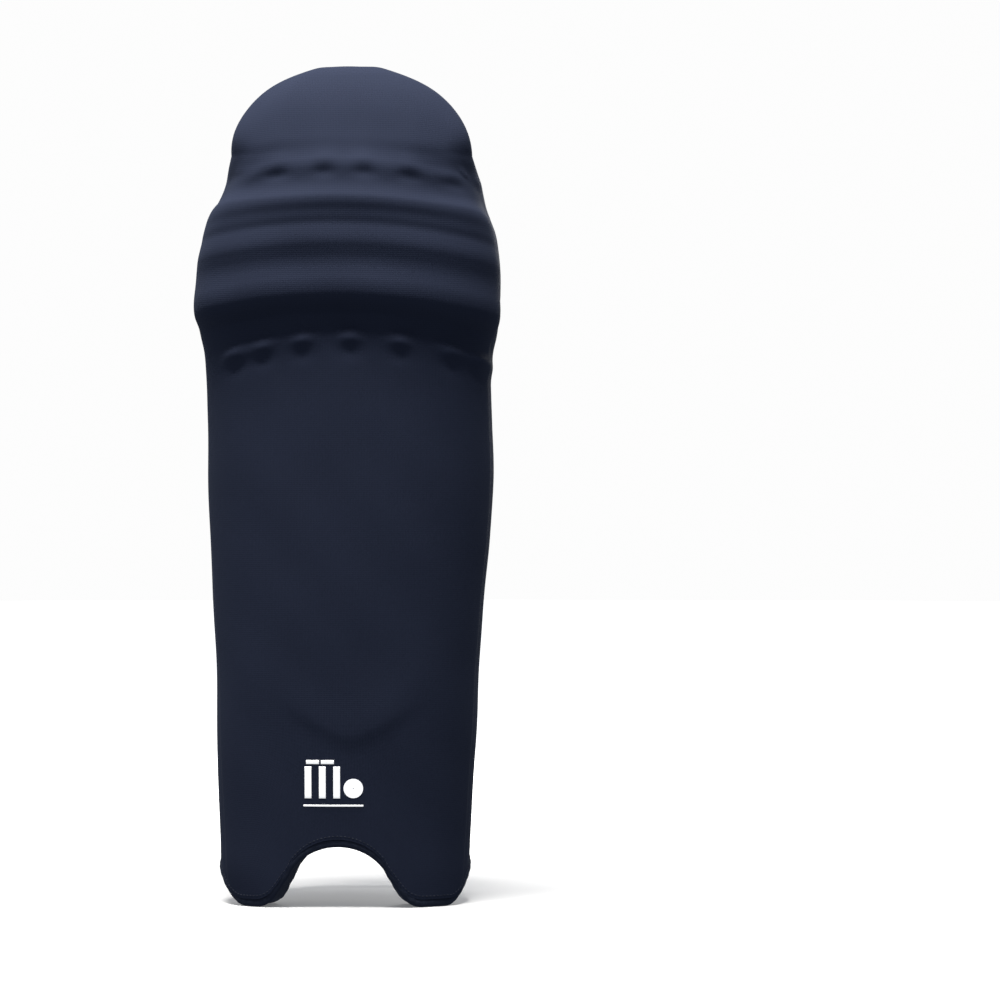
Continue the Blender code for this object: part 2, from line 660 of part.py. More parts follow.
def hang_moving_pieces():
    """Hang the knee block and the top flap on empties at their hinges, and the knee strap on the block's."""
    knee_axis = hinge_empty("knee_flex_axis", KNEE_HINGE_Y, KNEE_HINGE_Z)
    flap_axis = hinge_empty("flap_flex_axis", FLAP_HINGE_Y, FLAP_HINGE_Z)
    bpy.context.view_layer.update()
    for piece in list(bpy.context.collection.objects):
        if piece.type != "MESH" and piece is not flap_axis:
            continue
        if piece.name.startswith("flap_"):
            parent = flap_axis if piece is not flap_axis else knee_axis
        elif "knee_" in piece.name:
            parent = knee_axis
        else:
            continue
        piece.parent = parent
        piece.matrix_parent_inverse = parent.matrix_world.inverted()


def main():
    clear_scene()
    build_shin_face()
    build_shin_canes()
    build_shin_core()
    build_wings()
    build_shin_bolsters()
    build_shin_cover()
    build_knee()
    build_top_flap()
    build_straps()
    hang_moving_pieces()


main()
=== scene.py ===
"""Right-leg cricket batting pad in a navy stretch cover, standing on its two lobes.

The sections follow the pad as it is put together: camera and floor, the parts inside, the lining
and its bolsters, the stretch cover with its hem and piping, the straps, and the sewing.
"""
import json
import math

import bmesh
import bpy
import numpy as np
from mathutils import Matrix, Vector
from mathutils.bvhtree import BVHTree


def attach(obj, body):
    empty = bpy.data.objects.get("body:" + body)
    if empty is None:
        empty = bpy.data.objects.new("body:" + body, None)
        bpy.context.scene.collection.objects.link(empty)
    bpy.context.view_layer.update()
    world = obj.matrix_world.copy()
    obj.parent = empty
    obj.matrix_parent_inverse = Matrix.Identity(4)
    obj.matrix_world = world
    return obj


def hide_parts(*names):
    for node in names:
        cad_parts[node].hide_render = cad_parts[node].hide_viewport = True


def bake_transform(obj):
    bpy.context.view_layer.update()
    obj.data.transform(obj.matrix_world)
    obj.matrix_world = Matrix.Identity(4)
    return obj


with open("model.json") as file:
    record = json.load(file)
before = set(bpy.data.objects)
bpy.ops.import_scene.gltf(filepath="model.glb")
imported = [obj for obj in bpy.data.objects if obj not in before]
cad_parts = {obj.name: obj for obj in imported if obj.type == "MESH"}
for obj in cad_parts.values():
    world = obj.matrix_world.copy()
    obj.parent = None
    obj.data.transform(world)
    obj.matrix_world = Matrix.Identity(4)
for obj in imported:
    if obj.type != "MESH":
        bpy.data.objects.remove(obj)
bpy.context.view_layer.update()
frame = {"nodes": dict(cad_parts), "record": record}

# ---- Camera, floor and light.
# A long lens looks level at the pad from its front, a little to its inner side. The floor and the
# backdrop are plain white, lit evenly, except for a painted shade where the floor's glow is turned down
# round the pad, and soft light falls on the pad mostly from above.
CAMERA_DISTANCE = 3.0
PAD_PLANE = 0.05
MM_PER_SIDE = 0.80569
scene = bpy.context.scene
scene.view_settings.view_transform = "Standard"
camera_data = bpy.data.cameras.new("camera")
camera_data.sensor_width = 36.0
camera_data.lens = 36.0 * (CAMERA_DISTANCE - PAD_PLANE) / MM_PER_SIDE
camera = bpy.data.objects.new("camera", camera_data)
camera.location = (0.1225, -CAMERA_DISTANCE, 0.328)
camera.rotation_euler = (math.radians(90), 0, 0)
scene.collection.objects.link(camera)
scene.camera = camera


class Wire:
    """A node's output socket that can be added, subtracted or multiplied like a number."""

    def __init__(self, socket):
        self.socket = socket

    def _math(self, operation, first, second):
        tree = self.socket.id_data
        node = tree.nodes.new("ShaderNodeMath")
        node.operation = operation
        for socket, value in zip(node.inputs, (first, second)):
            if isinstance(value, Wire):
                tree.links.new(value.socket, socket)
            else:
                socket.default_value = value
        return Wire(node.outputs[0])

    def __add__(self, other):
        return self._math("ADD", self, other)

    def __radd__(self, other):
        return self._math("ADD", other, self)

    def __sub__(self, other):
        return self._math("SUBTRACT", self, other)

    def __rsub__(self, other):
        return self._math("SUBTRACT", other, self)

    def __mul__(self, other):
        return self._math("MULTIPLY", self, other)

    def __rmul__(self, other):
        return self._math("MULTIPLY", other, self)


class Finish:
    """A new Principled material and the one method that adds nodes to it."""

    def __init__(self, name, **constants):
        self.material = bpy.data.materials.new(name)
        self.material.use_nodes = True
        self.tree = self.material.node_tree
        self.shader = self.tree.nodes["Principled BSDF"]
        for socket, value in constants.items():
            self.shader.inputs[socket.replace("_", " ")].default_value = value

    def node(self, kind, settings=None, output=0, **sockets):
        """Add a node, set its settings, then fill its sockets with values or links."""
        node = self.tree.nodes.new(kind)
        for name, value in (settings or {}).items():
            setattr(node, name, value)
        for name, value in sockets.items():
            target = node.inputs[int(name[1:]) if name[1:].isdigit() else name]
            if isinstance(value, Wire):
                self.tree.links.new(value.socket, target)
            else:
                target.default_value = value
        return Wire(node.outputs[output])

    def put(self, socket, wire):
        """Link a wire to a socket of the shader."""
        self.tree.links.new(wire.socket, self.shader.inputs[socket])

    def place(self):
        """Where a point lies on the pad, in metres."""
        return self.node("ShaderNodeTexCoord", output=3)

    def cloth(self):
        """The two ways of the cloth in the piece's own map: across it and along it."""
        cloth = self.node("ShaderNodeUVMap", {"uv_map": "cloth"})
        return tuple(self.node("ShaderNodeSeparateXYZ", output=way, i0=cloth) for way in (0, 1))

    def tint(self, factor, dark, light):
        """A base colour between two, by a factor from 0 to 1."""
        self.put("Base Color", self.node("ShaderNodeMix", {"data_type": "RGBA"}, output=2, Factor=factor,
                                         i6=(*dark, 1), i7=(*light, 1)))

    def bump(self, height, strength, distance):
        """A fine relief from a height, its depth in metres."""
        self.put("Normal", self.node("ShaderNodeBump", Height=height, Strength=strength, Distance=distance))


def lamp(name, place, target, size, power, colour):
    """A soft rectangular light aimed at a point."""
    data = bpy.data.lights.new(name, "AREA")
    data.shape = "RECTANGLE"
    data.size, data.size_y = size
    data.energy = power
    data.color = colour
    light = bpy.data.objects.new(name, data)
    light.location = place
    light.rotation_euler = (Vector(target) - Vector(place)).to_track_quat("-Z", "Y").to_euler()
    scene.collection.objects.link(light)


def plain_stage(name, mesh, glow, colour):
    """A floor or backdrop that glows softly and doesn't throw light back on the pad."""
    obj = bpy.data.objects.new(name, mesh)
    scene.collection.objects.link(obj)
    material = Finish(name, Base_Color=(colour, colour, colour, 1), Roughness=1.0, Specular_IOR_Level=0.0,
                      Emission_Color=(1, 1, 1, 1), Emission_Strength=glow).material
    mesh.materials.append(material)
    obj.visible_diffuse = False
    obj.visible_glossy = False
    return obj


STAGE_RADIUS = 9.0
floor_mesh = bpy.data.meshes.new("floor")
shape = bmesh.new()
bmesh.ops.create_circle(shape, cap_ends=True, segments=64, radius=STAGE_RADIUS)
shape.to_mesh(floor_mesh)
shape.free()
floor = plain_stage("floor", floor_mesh, 1.0, 0.8)
# The floor's glow fades in away from the pad, a painted shade round the pad's foot, so that its soft shadow shows
# there.
tree = floor.data.materials[0].node_tree
place_node, gap_node, painted_shade_fade = (
    tree.nodes.new(kind) for kind in ("ShaderNodeTexCoord", "ShaderNodeVectorMath", "ShaderNodeMapRange"))
gap_node.operation = "LENGTH"
tree.links.new(place_node.outputs["Object"], gap_node.inputs[0])
tree.links.new(gap_node.outputs["Value"], painted_shade_fade.inputs["Value"])
for socket, value in (("From Min", 0.25), ("From Max", 1.1), ("To Min", 0.12), ("To Max", 1.0)):
    painted_shade_fade.inputs[socket].default_value = value
tree.links.new(painted_shade_fade.outputs["Result"], tree.nodes["Principled BSDF"].inputs["Emission Color"])
dome_mesh = bpy.data.meshes.new("backdrop")
shape = bmesh.new()
bmesh.ops.create_uvsphere(shape, u_segments=48, v_segments=24, radius=STAGE_RADIUS)
shape.to_mesh(dome_mesh)
shape.free()
backdrop = plain_stage("backdrop", dome_mesh, 0.98, 0.0)
backdrop.visible_shadow = False
backdrop.visible_transmission = False
world = bpy.data.worlds.new("world")
world.use_nodes = True
sky = world.node_tree.nodes["Background"]
sky.inputs["Color"].default_value = (0.80, 0.88, 1.0, 1)
sky.inputs["Strength"].default_value = 0.27
scene.world = world
lamp("top_light", (-0.15, -0.52, 2.1), (0.0, -0.08, 0.4), (1.1, 0.7), 74.0, (1.0, 0.98, 0.95))
lamp("front_light", (-1.7, -2.0, 0.7), (0.0, 0.0, 0.30), (1.2, 1.2), 5.0, (0.92, 0.96, 1.0))
lamp("back_light", (0.25, 1.6, 0.9), (0.0, 0.0, 0.35), (1.0, 0.7), 15.0, (1.0, 0.98, 0.95))

# ---- The pad's outer shape.
# Every layer of a pad follows one surface: a rounded U in plan, widest at the knee, whose front
# leans back above the knee rolls and ends in a dome. Places are in millimetres, as on the pattern.
OUTER_EDGE = [(0, 101), (25, 104.6), (54, 105.3), (102, 107.6), (150, 108.6), (199, 109.6), (247, 112), (296, 114.2),
              (344, 116.6), (392, 116.2), (431, 117.6), (450, 119.5), (462, 122.3), (489, 125.2), (508, 124.6),
              (528, 122), (547, 118), (557, 114), (566, 109), (576, 104), (585, 100.4), (595, 97.4), (605, 94)]
INNER_EDGE = [(0, 94), (25, 96.6), (54, 97.6), (102, 100.6), (150, 103.8), (199, 105.6), (247, 108.8), (296, 113.6),
              (344, 116.8), (392, 115.4), (431, 115.2), (450, 116.8), (462, 119.6), (489, 122.5), (528, 121.6),
              (547, 118.4), (557, 114.6), (566, 111.4), (576, 109), (595, 103.2), (605, 100)]
DOME_FOOT, DOME_RISE = 605.0, 73.5
DOME_OUTER, DOME_INNER = 94.0, 100.0
FRONT = [(0, -60), (60, -63), (200, -72), (340, -79), (440, -82), (475, -82), (530, -85), (570, -86), (588, -86),
         (600, -85.5), (610, -83.5), (620, -80), (645, -71), (680, -52)]
WIDEST = [(0, -4), (500, 0), (550, -6), (588, -20), (601, -40), (612, -50), (645, -48), (680, -40)]
REAR = [(0, 42), (60, 46), (200, 48), (480, 50), (540, 47), (556, 41), (568, 34), (578, 23), (590, 2), (602, -20),
        (612, -32), (645, -27), (680, -27)]
CURL = [(0, 20), (568, 20), (588, 10), (604, 5), (680, 4)]
TIP_ROUNDING = 12.0
ARCH_X, ARCH_RADIUS, ARCH_Z = -7.5, 45.0, 4.2


def eased(points, value):
    """Smooth curve through (place, value) points, level past both ends; works on arrays."""
    xs = np.array([p[0] for p in points], float)
    ys = np.array([p[1] for p in points], float)
    slopes = np.gradient(ys, xs)
    value = np.clip(np.asarray(value, float), xs[0], xs[-1])
    index = np.clip(np.searchsorted(xs, value, side="right") - 1, 0, len(xs) - 2)
    span = xs[index + 1] - xs[index]
    f = (value - xs[index]) / span
    return ((2 * f ** 3 - 3 * f ** 2 + 1) * ys[index] + (f ** 3 - 2 * f ** 2 + f) * span * slopes[index]
            + (3 * f ** 2 - 2 * f ** 3) * ys[index + 1] + (f ** 3 - f ** 2) * span * slopes[index + 1])


def ramp(low, high, value):
    """Smooth step from 0 at low to 1 at high; works on arrays."""
    f = np.clip((np.asarray(value, float) - low) / (high - low), 0, 1)
    return f * f * (3 - 2 * f)


def unit(vectors):
    """Rows of unit length."""
    return vectors / np.maximum(np.linalg.norm(vectors, axis=-1), 1e-9)[..., None]


def half_width(side, z):
    """Half width of the pad at a height, on its outer (-1) or inner (1) side."""
    if z <= DOME_FOOT:
        return float(eased(INNER_EDGE if side > 0 else OUTER_EDGE, z))
    reach = DOME_INNER if side > 0 else DOME_OUTER
    return reach * math.sqrt(max(1 - ((z - DOME_FOOT) / DOME_RISE) ** 2, 0.0))


def bezier(points, f):
    """Points on a cubic Bezier in plan."""
    g = 1 - f
    p0, p1, p2, p3 = (np.array(p, float) for p in points)
    return ((g ** 3)[:, None] * p0 + (3 * g * g * f)[:, None] * p1 + (3 * g * f * f)[:, None] * p2
            + (f ** 3)[:, None] * p3)


section_store = {}


def half_section(side, z):
    """Plan of one side at a height: lengths along it, points and inward normals."""
    key = (side, round(z, 3))
    if key not in section_store:
        width = half_width(side, z)
        tip = DOME_FOOT + DOME_RISE - z
        widest = float(eased(WIDEST, z))
        front = float(eased(FRONT, z))
        if tip < TIP_ROUNDING:
            share = 1 - max(tip, 0.0) / TIP_ROUNDING
            front = front + (widest - front) * (1 - math.sqrt(max(1 - share * share, 0.0)))
        rear = float(eased(REAR, z))
        curl = min(float(eased(CURL, z)), 0.5 * width)
        depth, tail = widest - front, rear - widest
        steps = np.linspace(0, 1, 33)
        face = bezier([(0, front), (0.58 * width, front), (width, front + 0.22 * depth), (width, widest)], steps)
        wing = bezier([(width, widest), (width, widest + 0.45 * tail), (width - 0.35 * curl, widest + 0.8 * tail),
                       (width - curl, rear)], steps)
        points = np.vstack([face, wing[1:]])
        lengths = np.concatenate([[0], np.cumsum(np.hypot(*np.diff(points, axis=0).T))])
        lengths = lengths + np.arange(len(lengths)) * 1e-7
        tangents = np.gradient(points, lengths, axis=0)
        if width < 1.0:
            tangents[:33] = (1, 0)
        tangents = unit(tangents)
        section_store[key] = (lengths, points, np.stack([-tangents[:, 1], tangents[:, 0]], axis=1))
    return section_store[key]


def skin(s, z, depth):
    """Points at depths below the outer surface, in mm. s runs from -1, outer rear edge, to 1, inner rear edge."""
    result = np.zeros((len(s), 3))
    for index, (at, height, down) in enumerate(zip(s, z, depth)):
        side = 1 if at >= 0 else -1
        lengths, points, normals = half_section(side, height)
        target = min(abs(at), 1.0) * lengths[-1]
        x = np.interp(target, lengths, points[:, 0]) + np.interp(target, lengths, normals[:, 0]) * down
        y = np.interp(target, lengths, points[:, 1]) + np.interp(target, lengths, normals[:, 1]) * down
        result[index] = (side * x, y, height)
    return result


def bottom_edge(s):
    """Height of the bottom edge: an arch over the instep between two lobes, rising round the wings."""
    x = skin(s, np.full(len(s), 20.0), np.zeros(len(s)))[:, 0]
    across = np.abs(x - ARCH_X)
    arch = ARCH_Z + np.sqrt(np.maximum(ARCH_RADIUS ** 2 - np.minimum(across, 38) ** 2, 0))
    foot = eased([(34, 39), (38, 28.3), (46, 16.5), (54, 6.3), (60, 2.0), (66, 0.2), (74, 0.0)], across)
    edge = np.where(across <= 38, arch, foot)
    side = np.abs(s)
    corner = np.where(across > 66, 26 * ramp(0.475, 0.72, side), 0)
    return edge + corner + 20 * ramp(0.68, 1.0, side)


def spaced(*stretches):
    """Values over several stretches, each (low, high, step), without repeats."""
    parts = [np.arange(low, high, step) for low, high, step in stretches]
    return np.concatenate(parts + [[stretches[-1][1]]])


# ---- Pieces inside the cover.
# Canes, foam boards, wings, rolls and the ribbed facing are the CAD pieces themselves. Cane is split
# bamboo with a silky grain. The foam is dark closed-cell, and the coated leather cloth over it is dyed
# navy, so that nothing pale shows through the stretched knit.
def dressed(node, material):
    """Give a carried-over piece a finish in place of its plain one."""
    if not node.data.materials:
        node.data.materials.append(None)
    for slot in node.material_slots:
        slot.link = "OBJECT"
        slot.material = material


cane = Finish("cane", Roughness=0.5, Specular_IOR_Level=0.4)
grain = cane.node("ShaderNodeMapping", Vector=cane.place(), Scale=(900.0, 900.0, 14.0))
streak = cane.node("ShaderNodeTexNoise", Vector=grain, Scale=1.0, Detail=3.0)
cane.tint(streak, (0.42, 0.26, 0.11), (0.66, 0.47, 0.24))
cane.bump(streak, 0.3, 0.0004)
foam = Finish("foam", Roughness=0.95, Specular_IOR_Level=0.2)
cells = foam.node("ShaderNodeTexVoronoi", Vector=foam.place(), Scale=900.0)
foam.tint(cells, (0.016, 0.017, 0.022), (0.034, 0.036, 0.046))
foam.bump(cells, 0.4, 0.0004)
facing = Finish("white_leather", Roughness=0.5, Specular_IOR_Level=0.4)
hide = facing.node("ShaderNodeTexVoronoi", Vector=facing.place(), Scale=700.0)
tone = facing.node("ShaderNodeTexNoise", Vector=facing.place(), Scale=30.0, Detail=4.0)
facing.tint(tone, (0.018, 0.022, 0.038), (0.027, 0.033, 0.055))
facing.bump(hide, 0.35, 0.0003)
inside_finish = {"cane": cane.material, "foam": foam.material, "white_leather": facing.material}
firm_pieces = []
for entry in frame["record"]["subparts"]:
    if entry["material_slot"] in inside_finish:
        firm_pieces.append(frame["nodes"][entry["node"]])
        dressed(firm_pieces[-1], inside_finish[entry["material_slot"]])


# ---- Stretch cover.
# One skin of navy polyester-elastane knit pulled over the whole front, thin enough to show the knee
# rolls and the rib ends. It is cut here in the lowest groove but one, so that each half bends at one joint.
ROLL_HEIGHTS = [
    (464, 0), (470, -1.0), (479, -1.4), (484, -0.2), (488, 3.8), (492, 9.0), (496, 13.0), (500, 15.0), (505, 15.6),
    (511, 15.2), (518, 13.7), (524, 12.6), (529, 12.4), (535, 13.1), (541, 13.9), (545, 13.7), (550, 12.8),
    (556, 11.6), (561, 12.0), (566, 12.2), (573, 13.2), (577, 12.7), (581, 10.6), (585, 8.7), (589, 7.5), (593, 7.0),
    (597, 6.9), (601, 6.6), (605, 5.5), (609, 3.7), (614, 2.5), (624, 2.8), (636, 3.2), (652, 3.5), (667, 3.0),
    (677, 1.5), (687, 0)]
SHIN_RIBS = (-88, -66, -35, 3, 42, 82, 103)
FLAP_RIBS = (-86, -53, -17, 14, 49, 82, 101)


def relief(s, x, z):
    """How far the cover stands out of the plain surface, in mm."""
    level = z + 7 + (x + 8) ** 2 / 850
    side = np.abs(s)
    result = eased(ROLL_HEIGHTS, level) * (1 - ramp(0.42, 0.66, side))
    low_level = z + x * x / 600
    for middle in SHIN_RIBS:
        across = np.exp(-((x - middle) / 9.5) ** 2)
        tip = np.exp(-((low_level - 458.5) / 6.0) ** 2)
        under = np.exp(-((low_level - 446) / 6.0) ** 2)
        column = ramp(461, 452, low_level) * ramp(405, 455, low_level)
        result = result + across * (4.8 * tip - 1.2 * under) + 0.6 * column * across
    for middle in FLAP_RIBS:
        across = np.exp(-((x - middle) / 9.0) ** 2)
        tip = np.exp(-((level - 606) / 6.0) ** 2)
        under = np.exp(-((level - 596) / 4.5) ** 2)
        column = ramp(600, 608, level) * ramp(650, 606, level)
        result = result + across * (0.8 * tip - 1.2 * under * (abs(middle) < 84)) + 0.5 * column * across
    fold = z - (132 + 0.66 * np.sqrt((x - 3) ** 2 + 200))
    result = result + 1.3 * np.exp(-(fold / np.where(fold > 0, 26, 11)) ** 2) * (1 - ramp(30, 66, np.abs(x - 3)))
    edge = 1.0 * (1 - ramp(0.552, 0.578, side)) * ramp(475, 440, z)
    rear = 1.7 * ramp(0.84, 0.97, side) * (1 - ramp(560, 580, z))
    return result + 0.9 * (1 - ramp(0.50, 0.75, side)) + 0.3 + edge + rear


def undulation(x, z):
    """Slow unevenness of a stretched cloth, in mm."""
    return (0.42 * np.sin(x / 17.0 + 1.3 * np.sin(z / 61.0) + 0.6) * np.sin(z / 47.0 + 0.9 * np.sin(x / 39.0))
            + 0.28 * np.sin(x / 9.1 + z / 23.0 + 2.1) * np.sin(z / 31.0 - x / 53.0))


def tidy_mesh(name, points, faces, uv=None, merge=0.0):
    """A mesh from points in mm, with its doubles merged and its own map in metres."""
    mesh = bpy.data.meshes.new(name)
    mesh.from_pydata((np.asarray(points) * 0.001).tolist(), [], faces)
    if uv is not None:
        layer = mesh.uv_layers.new(name="cloth")
        corners = np.zeros(len(mesh.loops), np.int32)
        mesh.loops.foreach_get("vertex_index", corners)
        layer.data.foreach_set("uv", (np.asarray(uv)[corners] * 0.001).astype(np.float32).ravel())
    if merge:
        shape = bmesh.new()
        shape.from_mesh(mesh)
        bmesh.ops.remove_doubles(shape, verts=shape.verts, dist=merge * 0.001)
        bmesh.ops.dissolve_degenerate(shape, edges=shape.edges, dist=1e-7)
        shape.to_mesh(mesh)
        shape.free()
    mesh.shade_smooth()
    return mesh


def grid_faces(rows, columns, start=0, closed=False):
    """Quads of a grid of points, row by row; closed joins the last column to the first."""
    faces = []
    for row in range(rows - 1):
        for column in range(columns if closed else columns - 1):
            after = (column + 1) % columns
            a, b = start + row * columns + column, start + row * columns + after
            faces.append((a, b, b + columns, a + columns))
    return faces


def piece(name, mesh, material):
    """A finished object at the origin with one material."""
    obj = bpy.data.objects.new(name, mesh)
    scene.collection.objects.link(obj)
    mesh.materials.clear()
    mesh.materials.append(material)
    return obj


firm_shape = bmesh.new()
for firm in firm_pieces:
    copy = firm.data.copy()
    copy.transform(firm.matrix_world)
    firm_shape.from_mesh(copy)
    bpy.data.meshes.remove(copy)
firm_tree = BVHTree.FromBMesh(firm_shape)
firm_shape.free()


def laid_over(grid, away, gap, reach=20.0):
    """The grid moved along its away directions until it clears the firm pieces by a gap, in mm."""
    push = np.zeros(grid.shape[:2])
    for index in np.ndindex(*push.shape):
        point, way = grid[index], away[index]
        if abs(np.dot(way, way) - 1) > 0.1:
            continue
        hit = firm_tree.ray_cast(Vector((point + way * reach) * 0.001), Vector(-way), (reach + gap) * 0.001)
        if hit[0] is not None:
            push[index] = reach + gap - hit[3] * 1000
    for axis in (0, 1):
        wide = push.copy()
        for shift in (-1, 1):
            wide = np.maximum(wide, np.roll(push, shift, axis))
        push = wide
    needed = push.copy()
    for _ in range(2):
        for axis in (0, 1):
            push = 0.5 * push + 0.25 * (np.roll(push, 1, axis) + np.roll(push, -1, axis))
    return grid + away * np.maximum(push, needed)[:, :, None]


COVER_SPLIT = 521.0
STRAIGHT = 150.0
cover_s = np.concatenate([np.linspace(-1, -0.62, 26), np.linspace(-0.61, 0.61, 125), np.linspace(0.62, 1, 26)])
cover_levels = spaced((0, STRAIGHT, 2.5), (STRAIGHT, 430, 4), (430, 477, 2.0), (477, COVER_SPLIT, 1.5),
                      (COVER_SPLIT, DOME_FOOT, 1.5))
dome_levels = DOME_FOOT + DOME_RISE * np.sin(np.radians(np.linspace(0, 90, 52)))[1:]
HEM_RISE = 6.6
low_edge = bottom_edge(cover_s) + HEM_RISE
all_levels = np.concatenate([cover_levels, dome_levels])
cover_rows = []
for level_z in all_levels:
    heights = np.full(len(cover_s), level_z)
    if level_z < STRAIGHT:
        heights = low_edge + (STRAIGHT - low_edge) * (level_z / STRAIGHT)
    cover_rows.append(skin(cover_s, heights, np.zeros(len(cover_s))))
cover_grid = np.array(cover_rows)


def pushed_out(grid):
    """The plain grid with the relief of what lies beneath, along its own normals."""
    normal = unit(np.cross(np.gradient(grid, axis=1), np.gradient(grid, axis=0)))
    x, z = grid[:, :, 0], grid[:, :, 2]
    side = np.abs(cover_s)[None, :]
    tip = 1 - ramp(675, 678.4, z)
    height = relief(cover_s[None, :], x, z) * tip + undulation(x, z) * (1 - ramp(0.9, 1.0, side)) * tip
    return laid_over(grid + normal * height[:, :, None], normal, 0.7)


cover_grid = pushed_out(cover_grid)
columns = len(cover_s)
run = np.zeros(cover_grid.shape[:2])
run[:, 1:] = np.cumsum(np.linalg.norm(np.diff(cover_grid, axis=1), axis=2), axis=1)
run -= run[:, columns // 2][:, None]
rise = np.repeat(all_levels[:, None], columns, axis=1)
cover_uv = np.stack([run, rise], axis=2)


# The cover turns round the wings' rear edges and the flap's edge, and ends inside in an elastic hem.
FLAP_FRONT = [(586, -91), (610, -85), (645, -71), (680, -52)]


def flap_back(x, z):
    """Where the leg side of the flap's board lies, in mm."""
    return float(eased(FLAP_FRONT, z)) + x * x / 380 + 26.6


OUTER_KNEE_DEPTH = [(520, 0), (547, 1.5), (557, 4), (566, 5.5), (576, 5.5), (590, 3), (605, 0)]


def thickness(middle, side):
    """How thick the pad is between its front and its wings, in mm."""
    return middle - 13.4 * float(ramp(0.585, 0.67, side)) - 3.6 * float(ramp(0.67, 1.0, side))


def lining_point(share, z, lift=0.0):
    """A point of the leg side of the pad, in mm. share runs from -1 to 1, from rear edge to rear edge."""
    side = abs(share)
    depth = thickness(30.6, side) + lift
    if share < 0:
        depth += float(eased(OUTER_KNEE_DEPTH, z))
    folded = skin([share], [min(z, 612.0)], [depth])[0]
    if z < 588:
        return folded
    reach = max(half_width(share, z) - 4.5, 0.5)
    x = share * reach
    flat = np.array([x, flap_back(x, z) + lift - 2.2 * float(ramp(0.8, 1.0, side)), z])
    change = float(ramp(588, 614, z))
    folded[2] = z
    return folded * (1 - change) + flat * change


def rear_return(grid):
    """Rings from the cover's edge round to the inside: a loop up one side, over the dome and down the other."""
    left, right = grid[:, 0], grid[::-1, -1]
    loop = np.vstack([left, right])
    inner_step = np.vstack([grid[:, 2], grid[::-1, -3]])
    back = loop - inner_step
    back /= np.maximum(np.linalg.norm(back, axis=1), 1e-6)[:, None]
    z = loop[:, 2]
    flap = ramp(560, 606, z)
    lean = np.radians(20)
    back = back * (1 - flap)[:, None] + np.outer(flap, (0, math.cos(lean), -math.sin(lean)))
    sides = np.concatenate([-np.ones(len(left)), np.ones(len(right))])
    inside = []
    for f in (0.0, 0.12, 0.25, 0.4, 0.55, 0.7, 0.8, 0.86, 0.93, 1.0):
        lift = 2.4 if 0.75 < f < 0.97 else 1.2
        row = []
        for side, point, height in zip(sides, loop, z):
            wing = lining_point(side * (1 - 0.13 * f), min(height, 612.0), lift)
            if height > 588:
                from_foot = np.array([point[0], max(height, DOME_FOOT) - DOME_FOOT])
                reach = max(np.linalg.norm(from_foot), 1.0)
                x, rise = from_foot * (1 - (4.0 + 20 * f) / reach)
                dome = np.array([x, flap_back(x, DOME_FOOT + rise) + lift - 2.2 * (1 - f) ** 2,
                                 min(height, DOME_FOOT) + rise])
                change = float(ramp(588, 612, height))
                wing = wing * (1 - change) + dome * change
            row.append(wing)
        inside.append(np.array(row))
    start, end = loop, inside[0]
    turn_in = inside[1] - inside[0]
    turn_in /= np.maximum(np.linalg.norm(turn_in, axis=1), 1e-6)[:, None]
    rings = []
    for f in np.linspace(0, 1, 9)[1:-1]:
        g = 1 - f
        rings.append(g ** 3 * start + 3 * g * g * f * (start + back * 5.0) + 3 * g * f * f * (end - turn_in * 5.0)
                     + f ** 3 * end)
    return loop, rings + inside


loop, rings = rear_return(cover_grid)
turned = np.array([loop] + rings)
turned_out = unit(np.cross(np.gradient(turned, axis=1), np.gradient(turned, axis=0)))
rings = list(laid_over(turned, turned_out, 0.6, 6.0)[1:])
rows = len(cover_grid)
split_row = int(np.argmin(np.abs(cover_levels - COVER_SPLIT)))


def cover_part(name, low_row, high_row):
    """Points, faces and map of the cover between two rows, with its rear return."""
    grid = cover_grid[low_row:high_row + 1]
    count = len(grid)
    points = [grid.reshape(-1, 3)]
    uv = [cover_uv[low_row:high_row + 1].reshape(-1, 2)]
    faces = grid_faces(count, columns)
    start = count * columns
    for span in (slice(low_row, high_row + 1), slice(2 * rows - 1 - high_row, 2 * rows - low_row)):
        stack = np.array([loop[span]] + [ring[span] for ring in rings])
        points.append(stack.reshape(-1, 3))
        length = np.zeros(stack.shape[:2])
        length[1:] = np.cumsum(np.linalg.norm(np.diff(stack, axis=0), axis=2), axis=0)
        uv.append(np.stack([length + 200, stack[:, :, 2]], axis=2).reshape(-1, 2))
        faces += [f[::-1] for f in grid_faces(len(stack), stack.shape[1], start)]
        start += stack.shape[0] * stack.shape[1]
    return tidy_mesh(name, np.vstack(points), faces, np.vstack(uv), merge=0.02)


def knit_finish(name, colour, wale=1.25, contrast=0.30, depth=0.00022, roughness=0.86):
    """Stretch knit: fine wales and courses in the cloth's own map, with a soft sheen."""
    finish = Finish(name, Roughness=roughness, Specular_IOR_Level=0.10, Sheen_Weight=0.03, Sheen_Roughness=0.5,
                    Sheen_Tint=(0.62, 0.72, 1.0, 1))
    across, along = finish.cloth()
    turns = math.tau / (wale * 0.001)
    wales = finish.node("ShaderNodeMath", {"operation": "SINE"}, i0=across * turns)
    courses = finish.node("ShaderNodeMath", {"operation": "SINE"}, i0=along * (turns * 0.8) + wales * 0.9)
    weave = (wales + courses) * 0.25 + 0.5
    slub = finish.node("ShaderNodeTexNoise", Vector=finish.place(), Scale=900.0, Detail=2.0)
    patch = finish.node("ShaderNodeTexNoise", Vector=finish.place(), Scale=14.0, Detail=3.0)
    shade = (1 - contrast) + weave * contrast * 0.8 + slub * contrast * 0.7 + (patch - 0.5) * 0.22
    finish.tint(shade, (0, 0, 0), colour)
    finish.put("Roughness", (slub - 0.5) * 0.2 + roughness)
    finish.bump(weave * 0.8 + slub * 0.4, 0.45, depth)
    return finish.material


